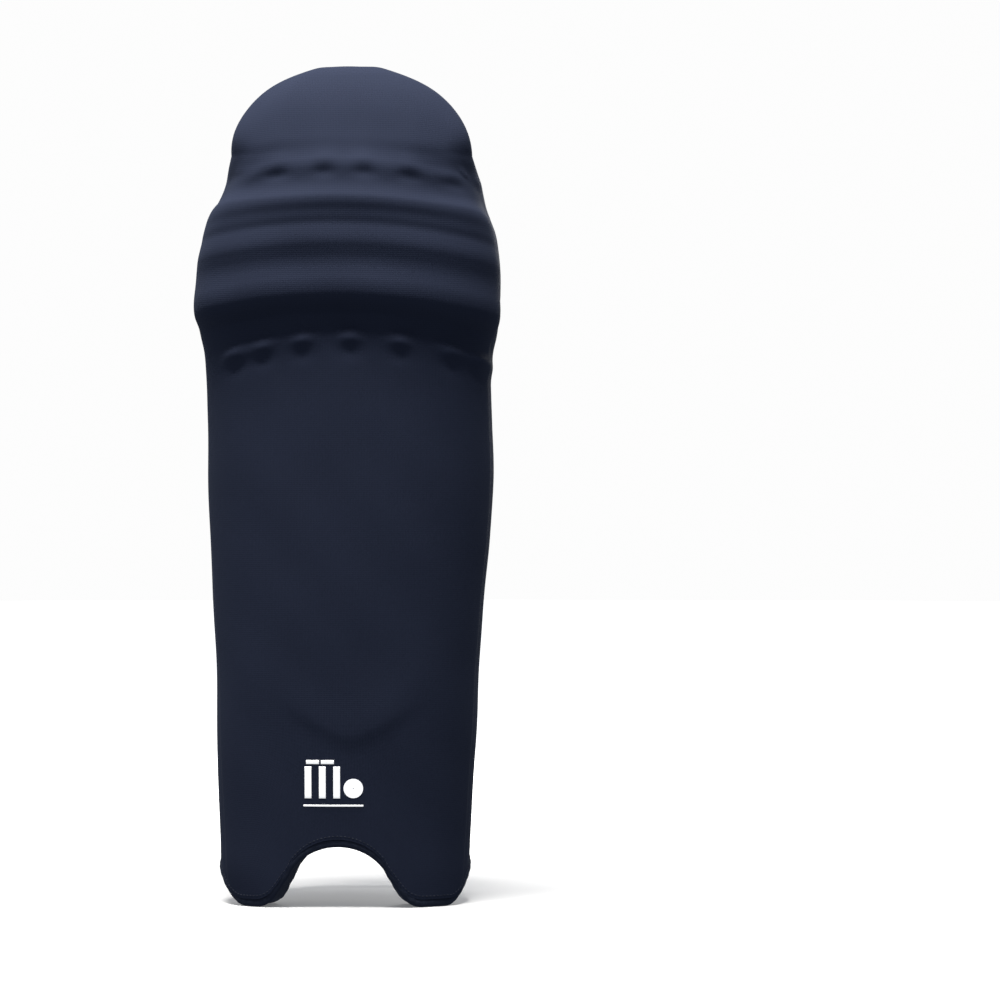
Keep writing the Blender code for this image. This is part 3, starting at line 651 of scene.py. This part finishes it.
navy_knit = knit_finish("navy_knit", (0.0215, 0.0275, 0.0510))
lower_cover, upper_cover = (
    piece(name, cover_part(name, first, last), navy_knit)
    for name, first, last in (("stretch_cover_lower", 0, split_row), ("stretch_cover_upper", split_row, rows - 1)))
# Where the merge at the hem and the dome left a face with more than four corners, it is cut in triangles.
for half in (lower_cover, upper_cover):
    shape = bmesh.new()
    shape.from_mesh(half.data)
    bmesh.ops.triangulate(shape, faces=[f for f in shape.faces if len(f.verts) > 4])
    shape.to_mesh(half.data)
    shape.free()
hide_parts("shin_cover", "outer_rear_elastic", "inner_rear_elastic")
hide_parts("knee_cover", "flap_cover", "flap_edge_binding")
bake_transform(lower_cover)
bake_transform(upper_cover)


# ---- Hem and piping.
# The lower edge is bound with a soft rolled strip of the same knit, and a closing strip of lining cloth
# goes back under the foam. A thin piping is sewn in where the cover turns over the flap's edge.
def faces_out(mesh):
    """Turn every face of a closed mesh outwards."""
    shape = bmesh.new()
    shape.from_mesh(mesh)
    bmesh.ops.recalc_face_normals(shape, faces=shape.faces)
    shape.to_mesh(mesh)
    shape.free()
    return mesh


def oval(count, across, up):
    """Points round an oval of two half sizes."""
    return [(math.cos(a) * across, math.sin(a) * up) for a in np.linspace(0, math.tau, count + 1)[:-1]]


def tube_along(centres, outs, ups, section):
    """Rings of a section (across, up) carried along centres with their own axes."""
    return np.array([[centre + out * a + up * b for a, b in section] for centre, out, up in zip(centres, outs, ups)])


def tube_mesh(name, rings_of_tube):
    """A mesh of a closed tube with a map along it, in metres."""
    count, around = rings_of_tube.shape[:2]
    points = rings_of_tube.reshape(-1, 3)
    faces = grid_faces(count, around, 0, closed=True)
    length = np.concatenate([[0], np.cumsum(np.linalg.norm(np.diff(rings_of_tube.mean(1), axis=0), axis=1))])
    girth = np.linalg.norm(rings_of_tube[0] - np.roll(rings_of_tube[0], 1, axis=0), axis=1).cumsum()
    uv = np.stack([np.tile(girth, (count, 1)), np.repeat(length[:, None], around, axis=1)], axis=2).reshape(-1, 2)
    faces.append(tuple(range(around))[::-1])
    faces.append(tuple(range((count - 1) * around, count * around)))
    return faces_out(tidy_mesh(name, points, faces, uv))


navy_binding = knit_finish("navy_binding", (0.0250, 0.0310, 0.0520), wale=0.9, contrast=0.4)
HEM_END, HEM_STEPS = 0.985, 330
hem_s = np.linspace(-HEM_END, HEM_END, HEM_STEPS)
hem_low = bottom_edge(hem_s)
hem_base = skin(hem_s, hem_low, np.zeros(HEM_STEPS))
hem_out = unit(skin(hem_s, hem_low, np.full(HEM_STEPS, -1.0)) - hem_base)
hem_path = unit(np.gradient(hem_base, axis=0))
hem_up = unit(np.cross(hem_path, hem_out))
hem_up *= np.sign(hem_up[:, 2])[:, None]
hem_width = 3.7
pucker = 0.14 * np.sin(np.cumsum(np.full(HEM_STEPS, 0.9)) + 1.5 * np.sin(np.arange(HEM_STEPS) / 7.0))
hem_centre = hem_base + hem_up * (hem_width + 0.1) + hem_out * (-0.5 + pucker)[:, None]
hem_rings = tube_along(hem_centre, hem_out, hem_up, oval(16, 2.5, hem_width))
hem = piece("hem_binding", tube_mesh("hem_binding", hem_rings), navy_binding)
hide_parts("cover_hem")
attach(hem, "shin")

UNDER_ROWS, UNDER_COLUMNS = 9, 241
under_s = np.linspace(-HEM_END, HEM_END, UNDER_COLUMNS)
under_low = bottom_edge(under_s)
under_rows = []
for f in np.linspace(0, 1, UNDER_ROWS):
    depth_here = [thickness(30.9, abs(s)) * f + 0.6 for s in under_s]
    sag = 1.0 * math.sin(math.pi * f)
    under_rows.append(skin(under_s, under_low + 2.0 - sag + 0.25 * np.sin(under_s * 160 + 5 * f), depth_here))
navy_lining = knit_finish("navy_lining", (0.0260, 0.0310, 0.0500), 2.2, 0.45, 0.0005, 0.95)
HALF_GIRTH = 260
under_map = np.broadcast_arrays((under_s * HALF_GIRTH)[None, :], np.linspace(0, 30, UNDER_ROWS)[:, None])
under_mesh = tidy_mesh("foot_closing_strip", np.array(under_rows).reshape(-1, 3),
                       [f[::-1] for f in grid_faces(UNDER_ROWS, UNDER_COLUMNS)],
                       np.stack(under_map, axis=2).reshape(-1, 2))
under = piece("foot_closing_strip", under_mesh, navy_lining)
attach(under, "shin")

pipe_centre = loop[loop[:, 2] > 548]
pipe_path = unit(np.gradient(pipe_centre, axis=0))
pipe_path[np.linalg.norm(pipe_path, axis=1) < 0.5] = (1, 0, 0)
pipe_back = np.tile([0.0, 1.0, 0.0], (len(pipe_centre), 1))
pipe_side = unit(np.cross(pipe_path, pipe_back))
keep = np.concatenate([[True], np.linalg.norm(np.diff(pipe_centre, axis=0), axis=1) > 0.05])
# The cord is a darker navy than the cover, and part of that darkness is painted shade for the shaded edge of the
# flap.
navy_piping = knit_finish("navy_piping", (0.0085, 0.0100, 0.0165), wale=0.7, contrast=0.3)
pipe_rings = tube_along(pipe_centre[keep], pipe_side[keep], pipe_back[keep], oval(8, 1.15, 1.15))
piping = piece("flap_piping_cord", tube_mesh("flap_piping_cord", pipe_rings), navy_piping)
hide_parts("flap_piping")
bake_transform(piping)

# ---- Lining.
# The leg side is a brushed lining quilted to the foam in upright channels on the shin and wings and in
# bowed ones on the knee. It ends under the cover's elastic edge, and is cut at the same groove.
lining_share = np.linspace(-HEM_END, HEM_END, 171)
lining_z = spaced((0, STRAIGHT, 5), (STRAIGHT, COVER_SPLIT, 5), (COVER_SPLIT, 600, 3.5), (600, 675, 3))


def quilting(share, z):
    """How deep the sewn channels sink into the lining, in mm."""
    upright = 1 - np.abs(np.sin(np.pi * share * 7.5)) ** 0.45
    bowed = 1 - np.abs(np.sin(np.pi * (z + 14 * share * share) / 24.0)) ** 0.45
    knee = ramp(474, 480, z)
    face = np.abs(share) < 0.7
    return 3.8 * (upright * (1 - knee) + bowed * knee * face + upright * knee * (1 - face))


lining_rows = []
for level_z in lining_z:
    row = []
    for share in lining_share:
        height = level_z
        if level_z < STRAIGHT:
            foot = float(bottom_edge(np.array([share]))[0]) + 2.0
            height = foot + (STRAIGHT - foot) * level_z / STRAIGHT
        row.append(lining_point(share, height, -float(quilting(share, height)) * 0.9))
    lining_rows.append(row)
lining_grid = np.array(lining_rows)
leg_side = unit(np.cross(np.gradient(lining_grid, axis=0), np.gradient(lining_grid, axis=1)))
lining_grid = laid_over(lining_grid, leg_side, 0.6, 14.0)
lining_cut = int(np.argmin(np.abs(lining_z - COVER_SPLIT)))
lining_map = np.stack(np.broadcast_arrays((lining_share * HALF_GIRTH)[None, :], lining_z[:, None]), axis=2)
for name, low_row, high_row, replaced, bend in (
        ("shin_lining_sheet", 0, lining_cut, ("shin_lining", "outer_wing_lining", "inner_wing_lining"),
         ("shin", "knee_block", (0, 0, 0.448), (0, 0, 0.492))),
        ("knee_lining_sheet", lining_cut, len(lining_z) - 1, ("knee_lining", "flap_lining"),
         ("knee_block", "top_flap", (0, 0, 0.576), (0, 0, 0.606)))):
    part = lining_grid[low_row:high_row + 1]
    mesh = tidy_mesh(name, part.reshape(-1, 3), [f[::-1] for f in grid_faces(len(part), len(lining_share))],
                     lining_map[low_row:high_row + 1].reshape(-1, 2))
    sheet = piece(name, mesh, navy_lining)
    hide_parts(*replaced)
    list(bend)
    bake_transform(sheet)


# ---- Bolsters, knee cups and strap pads.
# Each is a knit pocket filled with soft fibre and sewn down round its edge, so it stands up in the middle
# and its seam pulls in. The filling presses the cloth out in a short cloth simulation.
CLOTH_STEPS = 20


def inflate(obj, pinned, pressure=3.0, reach=4.0):
    """Let the filling press a closed piece out for a moment, its pinned points held by the seam."""
    before = np.zeros(len(obj.data.vertices) * 3)
    obj.data.vertices.foreach_get("co", before)
    group = obj.vertex_groups.new(name="seam")
    group.add([int(i) for i in pinned], 1.0, "REPLACE")
    cloth = obj.modifiers.new("filling", "CLOTH")
    cloth.settings.quality = 5
    cloth.settings.mass = 0.2
    cloth.settings.tension_stiffness = 25
    cloth.settings.compression_stiffness = 25
    cloth.settings.bending_stiffness = 2.0
    cloth.settings.use_pressure = True
    cloth.settings.uniform_pressure_force = pressure
    cloth.settings.vertex_group_mass = "seam"
    cloth.settings.effector_weights.gravity = 0
    cloth.collision_settings.use_collision = False
    cloth.point_cache.frame_start, cloth.point_cache.frame_end = 1, CLOTH_STEPS
    for step in range(1, CLOTH_STEPS + 1):
        scene.frame_set(step)
    evaluated = obj.evaluated_get(bpy.context.evaluated_depsgraph_get())
    after = np.zeros(len(obj.data.vertices) * 3)
    evaluated.data.vertices.foreach_get("co", after)
    obj.modifiers.remove(cloth)
    obj.vertex_groups.remove(group)
    scene.frame_set(1)
    moved = (after - before).reshape(-1, 3)
    size = np.linalg.norm(moved, axis=1)
    moved *= (np.minimum(size, reach * 0.001) / np.maximum(size, 1e-9))[:, None]
    obj.data.vertices.foreach_set("co", (before.reshape(-1, 3) + moved).ravel())
    obj.data.update()


def smoothed(obj):
    """Round a padded piece off with one level of subdivision."""
    finer = obj.modifiers.new("finer", "SUBSURF")
    finer.levels = finer.render_levels = 1


def pillow(name, place, rows_in, columns_in, swell, back, material):
    """A pocket on the leg side: place(u, v, lift) gives its points, swell its height and back its underside."""
    front_points, back_points, uv = [], [], []
    for j in range(rows_in):
        for i in range(columns_in):
            u, v = 2 * i / (columns_in - 1) - 1, 2 * j / (rows_in - 1) - 1
            lift = swell * (max(1 - abs(u) ** 2.6, 0) ** 0.55) * (max(1 - abs(v) ** 8, 0) ** 0.55)
            front_points.append(place(u, v, max(lift, 0.4)))
            back_points.append(place(u, v, -back))
            uv.append((u * 25, v * 150))
    start = len(front_points)
    faces = [f[::-1] for f in grid_faces(rows_in, columns_in)] + grid_faces(rows_in, columns_in, start)
    edge = ([(0, i) for i in range(columns_in)] + [(j, columns_in - 1) for j in range(1, rows_in)]
            + [(rows_in - 1, i) for i in range(columns_in - 2, -1, -1)] + [(j, 0) for j in range(rows_in - 2, 0, -1)])
    ids = [j * columns_in + i for j, i in edge]
    for a, b in zip(ids, ids[1:] + ids[:1]):
        faces.append((a, b, start + b, start + a))
    mesh = faces_out(tidy_mesh(name, np.array(front_points + back_points), faces, np.array(uv + uv)))
    obj = piece(name, mesh, material)
    inflate(obj, set(ids) | {start + i for i in range(rows_in * columns_in)})
    smoothed(obj)
    return obj


pad_knit = knit_finish("pad_knit", (0.0330, 0.0385, 0.0580), 1.6, 0.40, 0.0004, 0.92)
for name, centre, node_name in (("outer_shin_bolster_pad", -0.25, "outer_shin_bolster"),
                                ("inner_shin_bolster_pad", 0.25, "inner_shin_bolster")):
    def bolster_place(u, v, lift, centre=centre):
        narrow = math.sqrt(max(1 - (max(abs(v) - 0.86, 0) / 0.14) ** 2, 0)) * 0.4 + 0.6
        return lining_point(centre + 0.092 * u * narrow, 275 + 158 * v, lift)
    bolster = pillow(name, bolster_place, 61, 15, 15.0, 1.0, pad_knit)
    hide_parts(node_name)
    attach(bolster, "shin")
for name, centre, node_name in (("outer_knee_cup_pad", -0.30, "outer_knee_cup"),
                                ("inner_knee_cup_pad", 0.30, "inner_knee_cup")):
    def cup_place(u, v, lift, centre=centre):
        squeeze = math.sqrt(max(1 - 0.5 * v * v, 0))
        return lining_point(centre + 0.15 * u * squeeze, 533 + 42 * v * math.sqrt(1 - 0.35 * u * u), lift)
    cup = pillow(name, cup_place, 25, 25, 13.0, 1.0, pad_knit)
    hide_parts(node_name)
    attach(cup, "knee_block")


# ---- Straps.
# Three webbing straps hang from the inner wing's rear edge and close on the outer wing with hook and
# loop tape. Each carries a sliding padded sleeve where it crosses the calf.
def smooth_route(points, steps):
    """Points along a Catmull-Rom curve through a route in plan."""
    padded = [points[0]] + list(points) + [points[-1]]
    route = []
    for index in range(1, len(padded) - 2):
        p0, p1, p2, p3 = (np.array(p, float) for p in padded[index - 1:index + 3])
        for f in np.arange(steps) / steps:
            route.append(0.5 * (2 * p1 + (p2 - p0) * f + (2 * p0 - 5 * p1 + 4 * p2 - p3) * f * f
                                + (3 * p1 - p0 - 3 * p2 + p3) * f ** 3))
    return np.array(route + [np.array(points[-1], float)])


def strap_line(z):
    """A strap's centre line in plan and its outward directions."""
    root, rear = skin([1.0, -1.0], [z, z], [0, 0])[:, :2]
    tips = skin([-0.955, -0.90], [z, z], [-6.7, -6.7])[:, :2]
    route = smooth_route([(root[0] - 1.5, root[1] + 6.6), (root[0] - 16, root[1] + 12), (root[0] * 0.6, 83), (0, 92),
                          (rear[0] * 0.6, 83), (rear[0] + 8, rear[1] + 17), (rear[0] - 4.5, rear[1] + 5.5),
                          tips[0], tips[1]], 14)
    along = unit(np.gradient(route, axis=0))
    return route, np.stack([along[:, 1], -along[:, 0]], axis=1)


def weave_finish(name, light, dark, pitch):
    """Webbing: a twill of ribs across the strap with a fine thread along it, in the strap's own map."""
    finish = Finish(name, Roughness=0.8, Specular_IOR_Level=0.3)
    across, along = finish.cloth()
    turns = math.tau / (pitch * 0.001)
    rib = finish.node("ShaderNodeMath", {"operation": "SINE"}, i0=along * turns)
    thread = finish.node("ShaderNodeMath", {"operation": "SINE"}, i0=across * (turns * 1.15) + rib * 1.4)
    height = (rib + thread) * 0.25 + 0.5
    fuzz = finish.node("ShaderNodeTexNoise", Vector=finish.place(), Scale=600.0, Detail=3.0)
    finish.tint(height * 0.7 + fuzz * 0.4 - 0.05, dark, light)
    finish.bump(height + fuzz * 0.3, 0.6, 0.0004)
    return finish.material


def tape_finish(name, light, dark, scale, spot, depth):
    """Hook or loop tape: a dense nap of small hooks or loops."""
    finish = Finish(name, Roughness=0.9, Specular_IOR_Level=0.25)
    nap = finish.node("ShaderNodeTexVoronoi", Vector=finish.place(), Scale=scale)
    fuzz = finish.node("ShaderNodeTexNoise", Vector=finish.place(), Scale=scale * 1.7, Detail=4.0)
    height = (1 - nap * spot) * 0.7 + fuzz * 0.4
    finish.tint(height, dark, light)
    finish.bump(height, 0.8, depth)
    return finish.material


webbing = weave_finish("webbing", (0.040, 0.044, 0.056), (0.010, 0.011, 0.015), 1.7)
hook_tape = tape_finish("hook_tape", (0.045, 0.047, 0.055), (0.006, 0.006, 0.008), 760.0, 1.5, 0.0006)
anchor_webbing = tape_finish("anchor_webbing", (0.040, 0.044, 0.056), (0.010, 0.011, 0.015), 620.0, 1.1, 0.0004)
loop_tape = tape_finish("loop_tape", (0.055, 0.060, 0.080), (0.012, 0.014, 0.022), 1200.0, 0.8, 0.0005)


def ribbon(name, route, outs, z, width, near, far, material):
    """A flat strip on edge along a route, its edges rounded over."""
    half, middle, thick = width / 2, (near + far) / 2, abs(far - near) / 2
    section = [(middle + thick * math.copysign(abs(c) ** 0.5, c), half * math.copysign(abs(s) ** 0.16, s))
               for c, s in oval(24, 1, 1)]
    centre = np.column_stack([route, np.full(len(route), z)])
    out3 = np.column_stack([outs, np.zeros(len(route))])
    up = np.tile([0.0, 0.0, 1.0], (len(route), 1))
    return piece(name, tube_mesh(name, tube_along(centre, out3, up, section)), material)


STRAP_UP = np.array([0, 0, 1.0])
SLEEVE_START, SLEEVE_END, SLEEVE_ROUND = 30, 84, 32
strap_rows = (("ankle", 96, 36, "ankle_strap", "shin"), ("calf", 285, 36, "calf_strap", "shin"),
              ("knee", 510, 40, "knee_strap", "knee_block"))
for prefix, z, width, body, wing_body in strap_rows:
    route, outs = strap_line(z)
    band = ribbon(prefix + "_webbing", route, outs, z, width, -1.0, 1.0, webbing)
    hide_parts(prefix + "_strap_band")
    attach(band, body)
    tab = ribbon(prefix + "_hook_tape", route[-26:], outs[-26:], z, width - 2, -2.6, -1.2, hook_tape)
    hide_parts(prefix + "_hook_tab")
    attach(tab, body)
    patch_s = np.linspace(-0.972, -0.88, 16)
    patch_centre = skin(patch_s, np.full(16, float(z)), np.zeros(16))[:, :2]
    patch_out = unit(skin(patch_s, np.full(16, float(z)), np.full(16, -1.0))[:, :2] - patch_centre)
    low_side, high_side = (1.4, 4.2) if prefix == "knee" else (0.8, 3.1)
    patch = ribbon(prefix + "_loop_tape", patch_centre, patch_out, z, width + 8, low_side, high_side, loop_tape)
    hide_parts(prefix + "_loop_patch")
    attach(patch, wing_body)
    dressed(frame["nodes"][prefix + "_strap_anchor"], anchor_webbing)
    sleeve_rings = []
    for index in range(SLEEVE_START, SLEEVE_END + 1):
        f = (index - SLEEVE_START) / (SLEEVE_END - SLEEVE_START)
        plump = 5.2 * (1 - abs(2 * f - 1) ** 6) ** 0.5 + 1.2
        tall = width / 2 + 4.5 - 3.5 * abs(2 * f - 1) ** 8
        ring = []
        for c, s in oval(SLEEVE_ROUND, 1, 1):
            ring.append(np.array([*route[index], z])
                        + np.array([*outs[index], 0]) * plump * math.copysign(abs(c) ** 0.8, c)
                        + STRAP_UP * tall * math.copysign(abs(s) ** 0.6, s))
        sleeve_rings.append(ring)
    sleeve_mesh = tube_mesh(prefix + "_sleeve_pad", np.array(sleeve_rings))
    pad = piece(prefix + "_sleeve_pad", sleeve_mesh, pad_knit)
    last = len(pad.data.vertices)
    inflate(pad, [*range(2 * SLEEVE_ROUND), *range(last - 2 * SLEEVE_ROUND, last)], 2.0, 1.5)
    smoothed(pad)
    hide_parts(prefix + "_strap_pad")
    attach(pad, body)


# ---- Printed mark.
# A plain white transfer is pressed on the shin: three stumps with bails beside a ball, over a thin bar.
cover_shape = bmesh.new()
for half in (lower_cover, upper_cover):
    cover_shape.from_mesh(half.data)
cover_tree = BVHTree.FromBMesh(cover_shape)
cover_shape.free()


def on_front(x, z, lift=0.25):
    """The point of the cover straight behind (x, z), in mm, a little in front of it."""
    hit = cover_tree.ray_cast(Vector((x * 0.001, -0.3, z * 0.001)), Vector((0, 1, 0)))
    return np.array(hit[0]) * 1000 + np.array(hit[1]) * lift * (1 if hit[1].y < 0 else -1)


def print_patch(left, low, right, high, across, along):
    """A four-sided patch of print laid on the cover, with a skirt down into the cloth."""
    low_left, low_right = np.array([left, low], float), np.array([right, low], float)
    high_left, high_right = np.array([left, high], float), np.array([right, high], float)
    points = []
    for j in range(along + 1):
        for i in range(across + 1):
            f, g = i / across, j / along
            spot = (low_left * (1 - f) + low_right * f) * (1 - g) + (high_left * (1 - f) + high_right * f) * g
            points.append(on_front(spot[0], spot[1]))
    edge = ([i for i in range(across + 1)] + [j * (across + 1) + across for j in range(1, along + 1)]
            + [along * (across + 1) + i for i in range(across - 1, -1, -1)]
            + [j * (across + 1) for j in range(along - 1, 0, -1)])
    start = len(points)
    points += [points[index] + np.array([0, 0.5, 0]) for index in edge]
    faces = grid_faces(along + 1, across + 1)
    faces += [(a, start + k, start + (k + 1) % len(edge), edge[(k + 1) % len(edge)]) for k, a in enumerate(edge)]
    return points, faces


mark_points, mark_faces = [], []
mark_patches = [(-34 + 11.5 * k, 89, -28.6 + 11.5 * k, 114.6, 4, 14) for k in range(3)]
mark_patches += [(-32.8 + 11.9 * k, 116.6, -22.4 + 11.9 * k, 119.8, 6, 2) for k in range(2)]
mark_patches.append((-35, 82.4, 13, 83.8, 30, 1))
for patch in mark_patches:
    points, faces = print_patch(*patch)
    mark_faces += [tuple(i + len(mark_points) for i in f) for f in faces]
    mark_points += points
ball_rings = [[on_front(5.0 + x, 97 + z) for x, z in oval(40, r, r)] for r in (0.4, 2.0, 4.0, 6.0, 7.8)]
start = len(mark_points)
mark_points += [point for ring in ball_rings for point in ring]
mark_faces += [f[::-1] for f in grid_faces(5, 40, start, closed=True)]
# The print is white, and it also glows a little: a painted light that keeps it white under the dim lamps.
white_print_with_painted_glow = Finish("white_print_with_painted_glow", Roughness=0.55, Specular_IOR_Level=0.3, Emission_Color=(1, 1, 1, 1),
                     Emission_Strength=0.6)
print_grain = white_print_with_painted_glow.node("ShaderNodeTexNoise", Vector=white_print_with_painted_glow.place(), Scale=1400.0, Detail=2.0)
white_print_with_painted_glow.tint(print_grain, (0.90, 0.90, 0.90), (1.0, 1.0, 1.0))
white_print_with_painted_glow.bump(print_grain, 0.4, 0.0002)
mark_mesh = tidy_mesh("printed_mark", np.array(mark_points), mark_faces)
mark = piece("printed_mark", mark_mesh, white_print_with_painted_glow.material)
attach(mark, "shin")

# ---- Sewing.
# Polyester thread in short straight stitches holds the hem, the straps and the loop tape patches.
# Each seam is a path on its piece, with one small stitch repeated along it.
def stitch_tree(material):
    """A node tree that lays stitches along the edges of a path, at its own pitch and size."""
    tree = bpy.data.node_groups.new("stitches_along_path", "GeometryNodeTree")
    face = tree.interface
    face.new_socket("Path", in_out="INPUT", socket_type="NodeSocketGeometry")
    for name, value in (("Pitch", 0.0032), ("Stitch Length", 0.0023), ("Thread Width", 0.0006)):
        face.new_socket(name, in_out="INPUT", socket_type="NodeSocketFloat").default_value = value
    face.new_socket("Stitches", in_out="OUTPUT", socket_type="NodeSocketGeometry")

    def node(kind, settings=None, **sockets):
        made = tree.nodes.new(kind)
        for key, value in (settings or {}).items():
            setattr(made, key, value)
        for key, value in sockets.items():
            target = made.inputs[key.replace("_", " ")]
            if isinstance(value, bpy.types.NodeSocket):
                tree.links.new(value, target)
            else:
                target.default_value = value
        return made

    given = node("NodeGroupInput").outputs
    curve = node("GeometryNodeMeshToCurve", Mesh=given["Path"]).outputs["Curve"]
    even = node("GeometryNodeResampleCurve", {"mode": "LENGTH"}, Curve=curve, Length=given["Pitch"]).outputs["Curve"]
    out = node("GeometryNodeInputNamedAttribute", {"data_type": "FLOAT_VECTOR"}, Name="out").outputs["Attribute"]
    tangent = node("GeometryNodeInputTangent").outputs["Tangent"]
    first = node("FunctionNodeAlignRotationToVector", {"axis": "Z"}, Vector=out).outputs["Rotation"]
    turned = node("FunctionNodeAlignRotationToVector", {"axis": "X", "pivot_axis": "Z"}, Rotation=first,
                  Vector=tangent).outputs["Rotation"]
    bead = node("GeometryNodeMeshUVSphere", Segments=8, Rings=5, Radius=0.5).outputs["Mesh"]
    size = node("ShaderNodeCombineXYZ", X=given["Stitch Length"], Y=given["Thread Width"],
                Z=given["Thread Width"]).outputs["Vector"]
    placed = node("GeometryNodeInstanceOnPoints", Points=even, Instance=bead, Rotation=turned,
                  Scale=size).outputs["Instances"]
    real = node("GeometryNodeRealizeInstances", Geometry=placed).outputs["Geometry"]
    smooth = node("GeometryNodeSetShadeSmooth", Geometry=real).outputs["Geometry"]
    dressed = node("GeometryNodeSetMaterial", Geometry=smooth, Material=material).outputs["Geometry"]
    node("NodeGroupOutput", Stitches=dressed)
    return tree


thread_finish = Finish("navy_thread", Roughness=0.6, Specular_IOR_Level=0.3)
fibre = thread_finish.node("ShaderNodeTexNoise", Vector=thread_finish.place(), Scale=2500.0, Detail=2.0)
thread_finish.tint(fibre, (0.014, 0.018, 0.030), (0.034, 0.042, 0.066))
thread_finish.bump(fibre, 0.4, 0.0002)
stitches = stitch_tree(thread_finish.material)


def sew(name, seams, pitch=3.2, length=2.3, width=0.6):
    """Stitches along seams, each a list of points and one of outward directions, baked to a plain mesh."""
    points, outs, edges = [], [], []
    for seam_points, seam_outs in seams:
        start = len(points)
        points += [tuple(p * 0.001) for p in np.asarray(seam_points)]
        outs += [tuple(o) for o in np.asarray(seam_outs)]
        edges += [(i, i + 1) for i in range(start, len(points) - 1)]
    path = bpy.data.meshes.new(name + "_path")
    path.from_pydata(points, edges, [])
    attribute = path.attributes.new("out", "FLOAT_VECTOR", "POINT")
    attribute.data.foreach_set("vector", np.array(outs, np.float32).ravel())
    holder = bpy.data.objects.new(name + "_path", path)
    scene.collection.objects.link(holder)
    modifier = holder.modifiers.new("stitches", "NODES")
    modifier.node_group = stitches
    sizes = {"Pitch": pitch * 0.001, "Stitch Length": length * 0.001, "Thread Width": width * 0.001}
    for item in stitches.interface.items_tree:
        if item.name in sizes:
            modifier[item.identifier] = sizes[item.name]
    mesh = bpy.data.meshes.new_from_object(holder.evaluated_get(bpy.context.evaluated_depsgraph_get()))
    bpy.data.objects.remove(holder)
    mesh.name = name
    obj = bpy.data.objects.new(name, mesh)
    scene.collection.objects.link(obj)
    return obj


def beside(points, outs, tree, lift=0.15, reach=25.0):
    """Points dropped along their directions on a surface, with a small lift; the ones that miss are left out."""
    landed, directions = [], []
    for point, out in zip(points, outs):
        hit = tree.ray_cast(Vector((point + out * reach) * 0.001), Vector(-out), 2 * reach * 0.001)
        if hit[0] is not None:
            landed.append(np.array(hit[0]) * 1000 + out * lift)
            directions.append(out)
    return np.array(landed), np.array(directions)


SEAM_STEPS = 400
seam_s = np.linspace(-0.96, 0.96, SEAM_STEPS)
seam_z = bottom_edge(seam_s) + 9.2
seam_points = skin(seam_s, seam_z, np.zeros(SEAM_STEPS))
seam_outs = unit(skin(seam_s, seam_z, np.full(SEAM_STEPS, -1.0)) - seam_points)
hem_seam = sew("hem_stitches", [beside(seam_points, seam_outs, cover_tree)])
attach(hem_seam, "shin")


def cross_seam(spot, out, half):
    """A seam straight up across a strap or patch."""
    return spot + np.outer(np.linspace(-half, half, 12), STRAP_UP), np.tile(out, (12, 1))


for prefix, z, width, body, wing_body in strap_rows:
    route, outs = strap_line(z)
    outs3 = np.column_stack([outs, np.zeros(len(outs))])
    spots = np.column_stack([route, np.full(len(route), float(z))])
    half = width / 2 - 2.5
    seams = []
    for lift in (-1.15, 1.15):
        for rise in (-half, half):
            seams.append((spots[3:28] + outs3[3:28] * lift + STRAP_UP * rise, outs3[3:28] * np.sign(lift)))
        for index in (8, 13):
            seams.append(cross_seam(spots[index] + outs3[index] * lift, outs3[index] * np.sign(lift), half))
    for rise in (-half, half):
        seams.append((spots[-30:] + outs3[-30:] * 1.15 + STRAP_UP * rise, outs3[-30:]))
    seams.append(cross_seam(spots[-4] + outs3[-4] * 1.15, outs3[-4], half))
    strap_seams = sew(prefix + "_strap_stitches", seams, 2.8, 2.0, 0.55)
    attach(strap_seams, body)
    patch_s = np.linspace(-0.967, -0.885, 14)
    patch_spots = skin(patch_s, np.full(14, float(z)), np.full(14, -3.05))
    patch_outs = unit(patch_spots - skin(patch_s, np.full(14, float(z)), np.zeros(14)))
    tall = (width + 8) / 2 - 2.2
    patch_seams = [(patch_spots + STRAP_UP * rise, patch_outs) for rise in (-tall, tall)]
    patch_seams += [cross_seam(patch_spots[index], patch_outs[index], tall) for index in (0, -1)]
    loop_seams = sew(prefix + "_patch_stitches", patch_seams, 2.8, 2.0, 0.5)
    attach(loop_seams, wing_body)
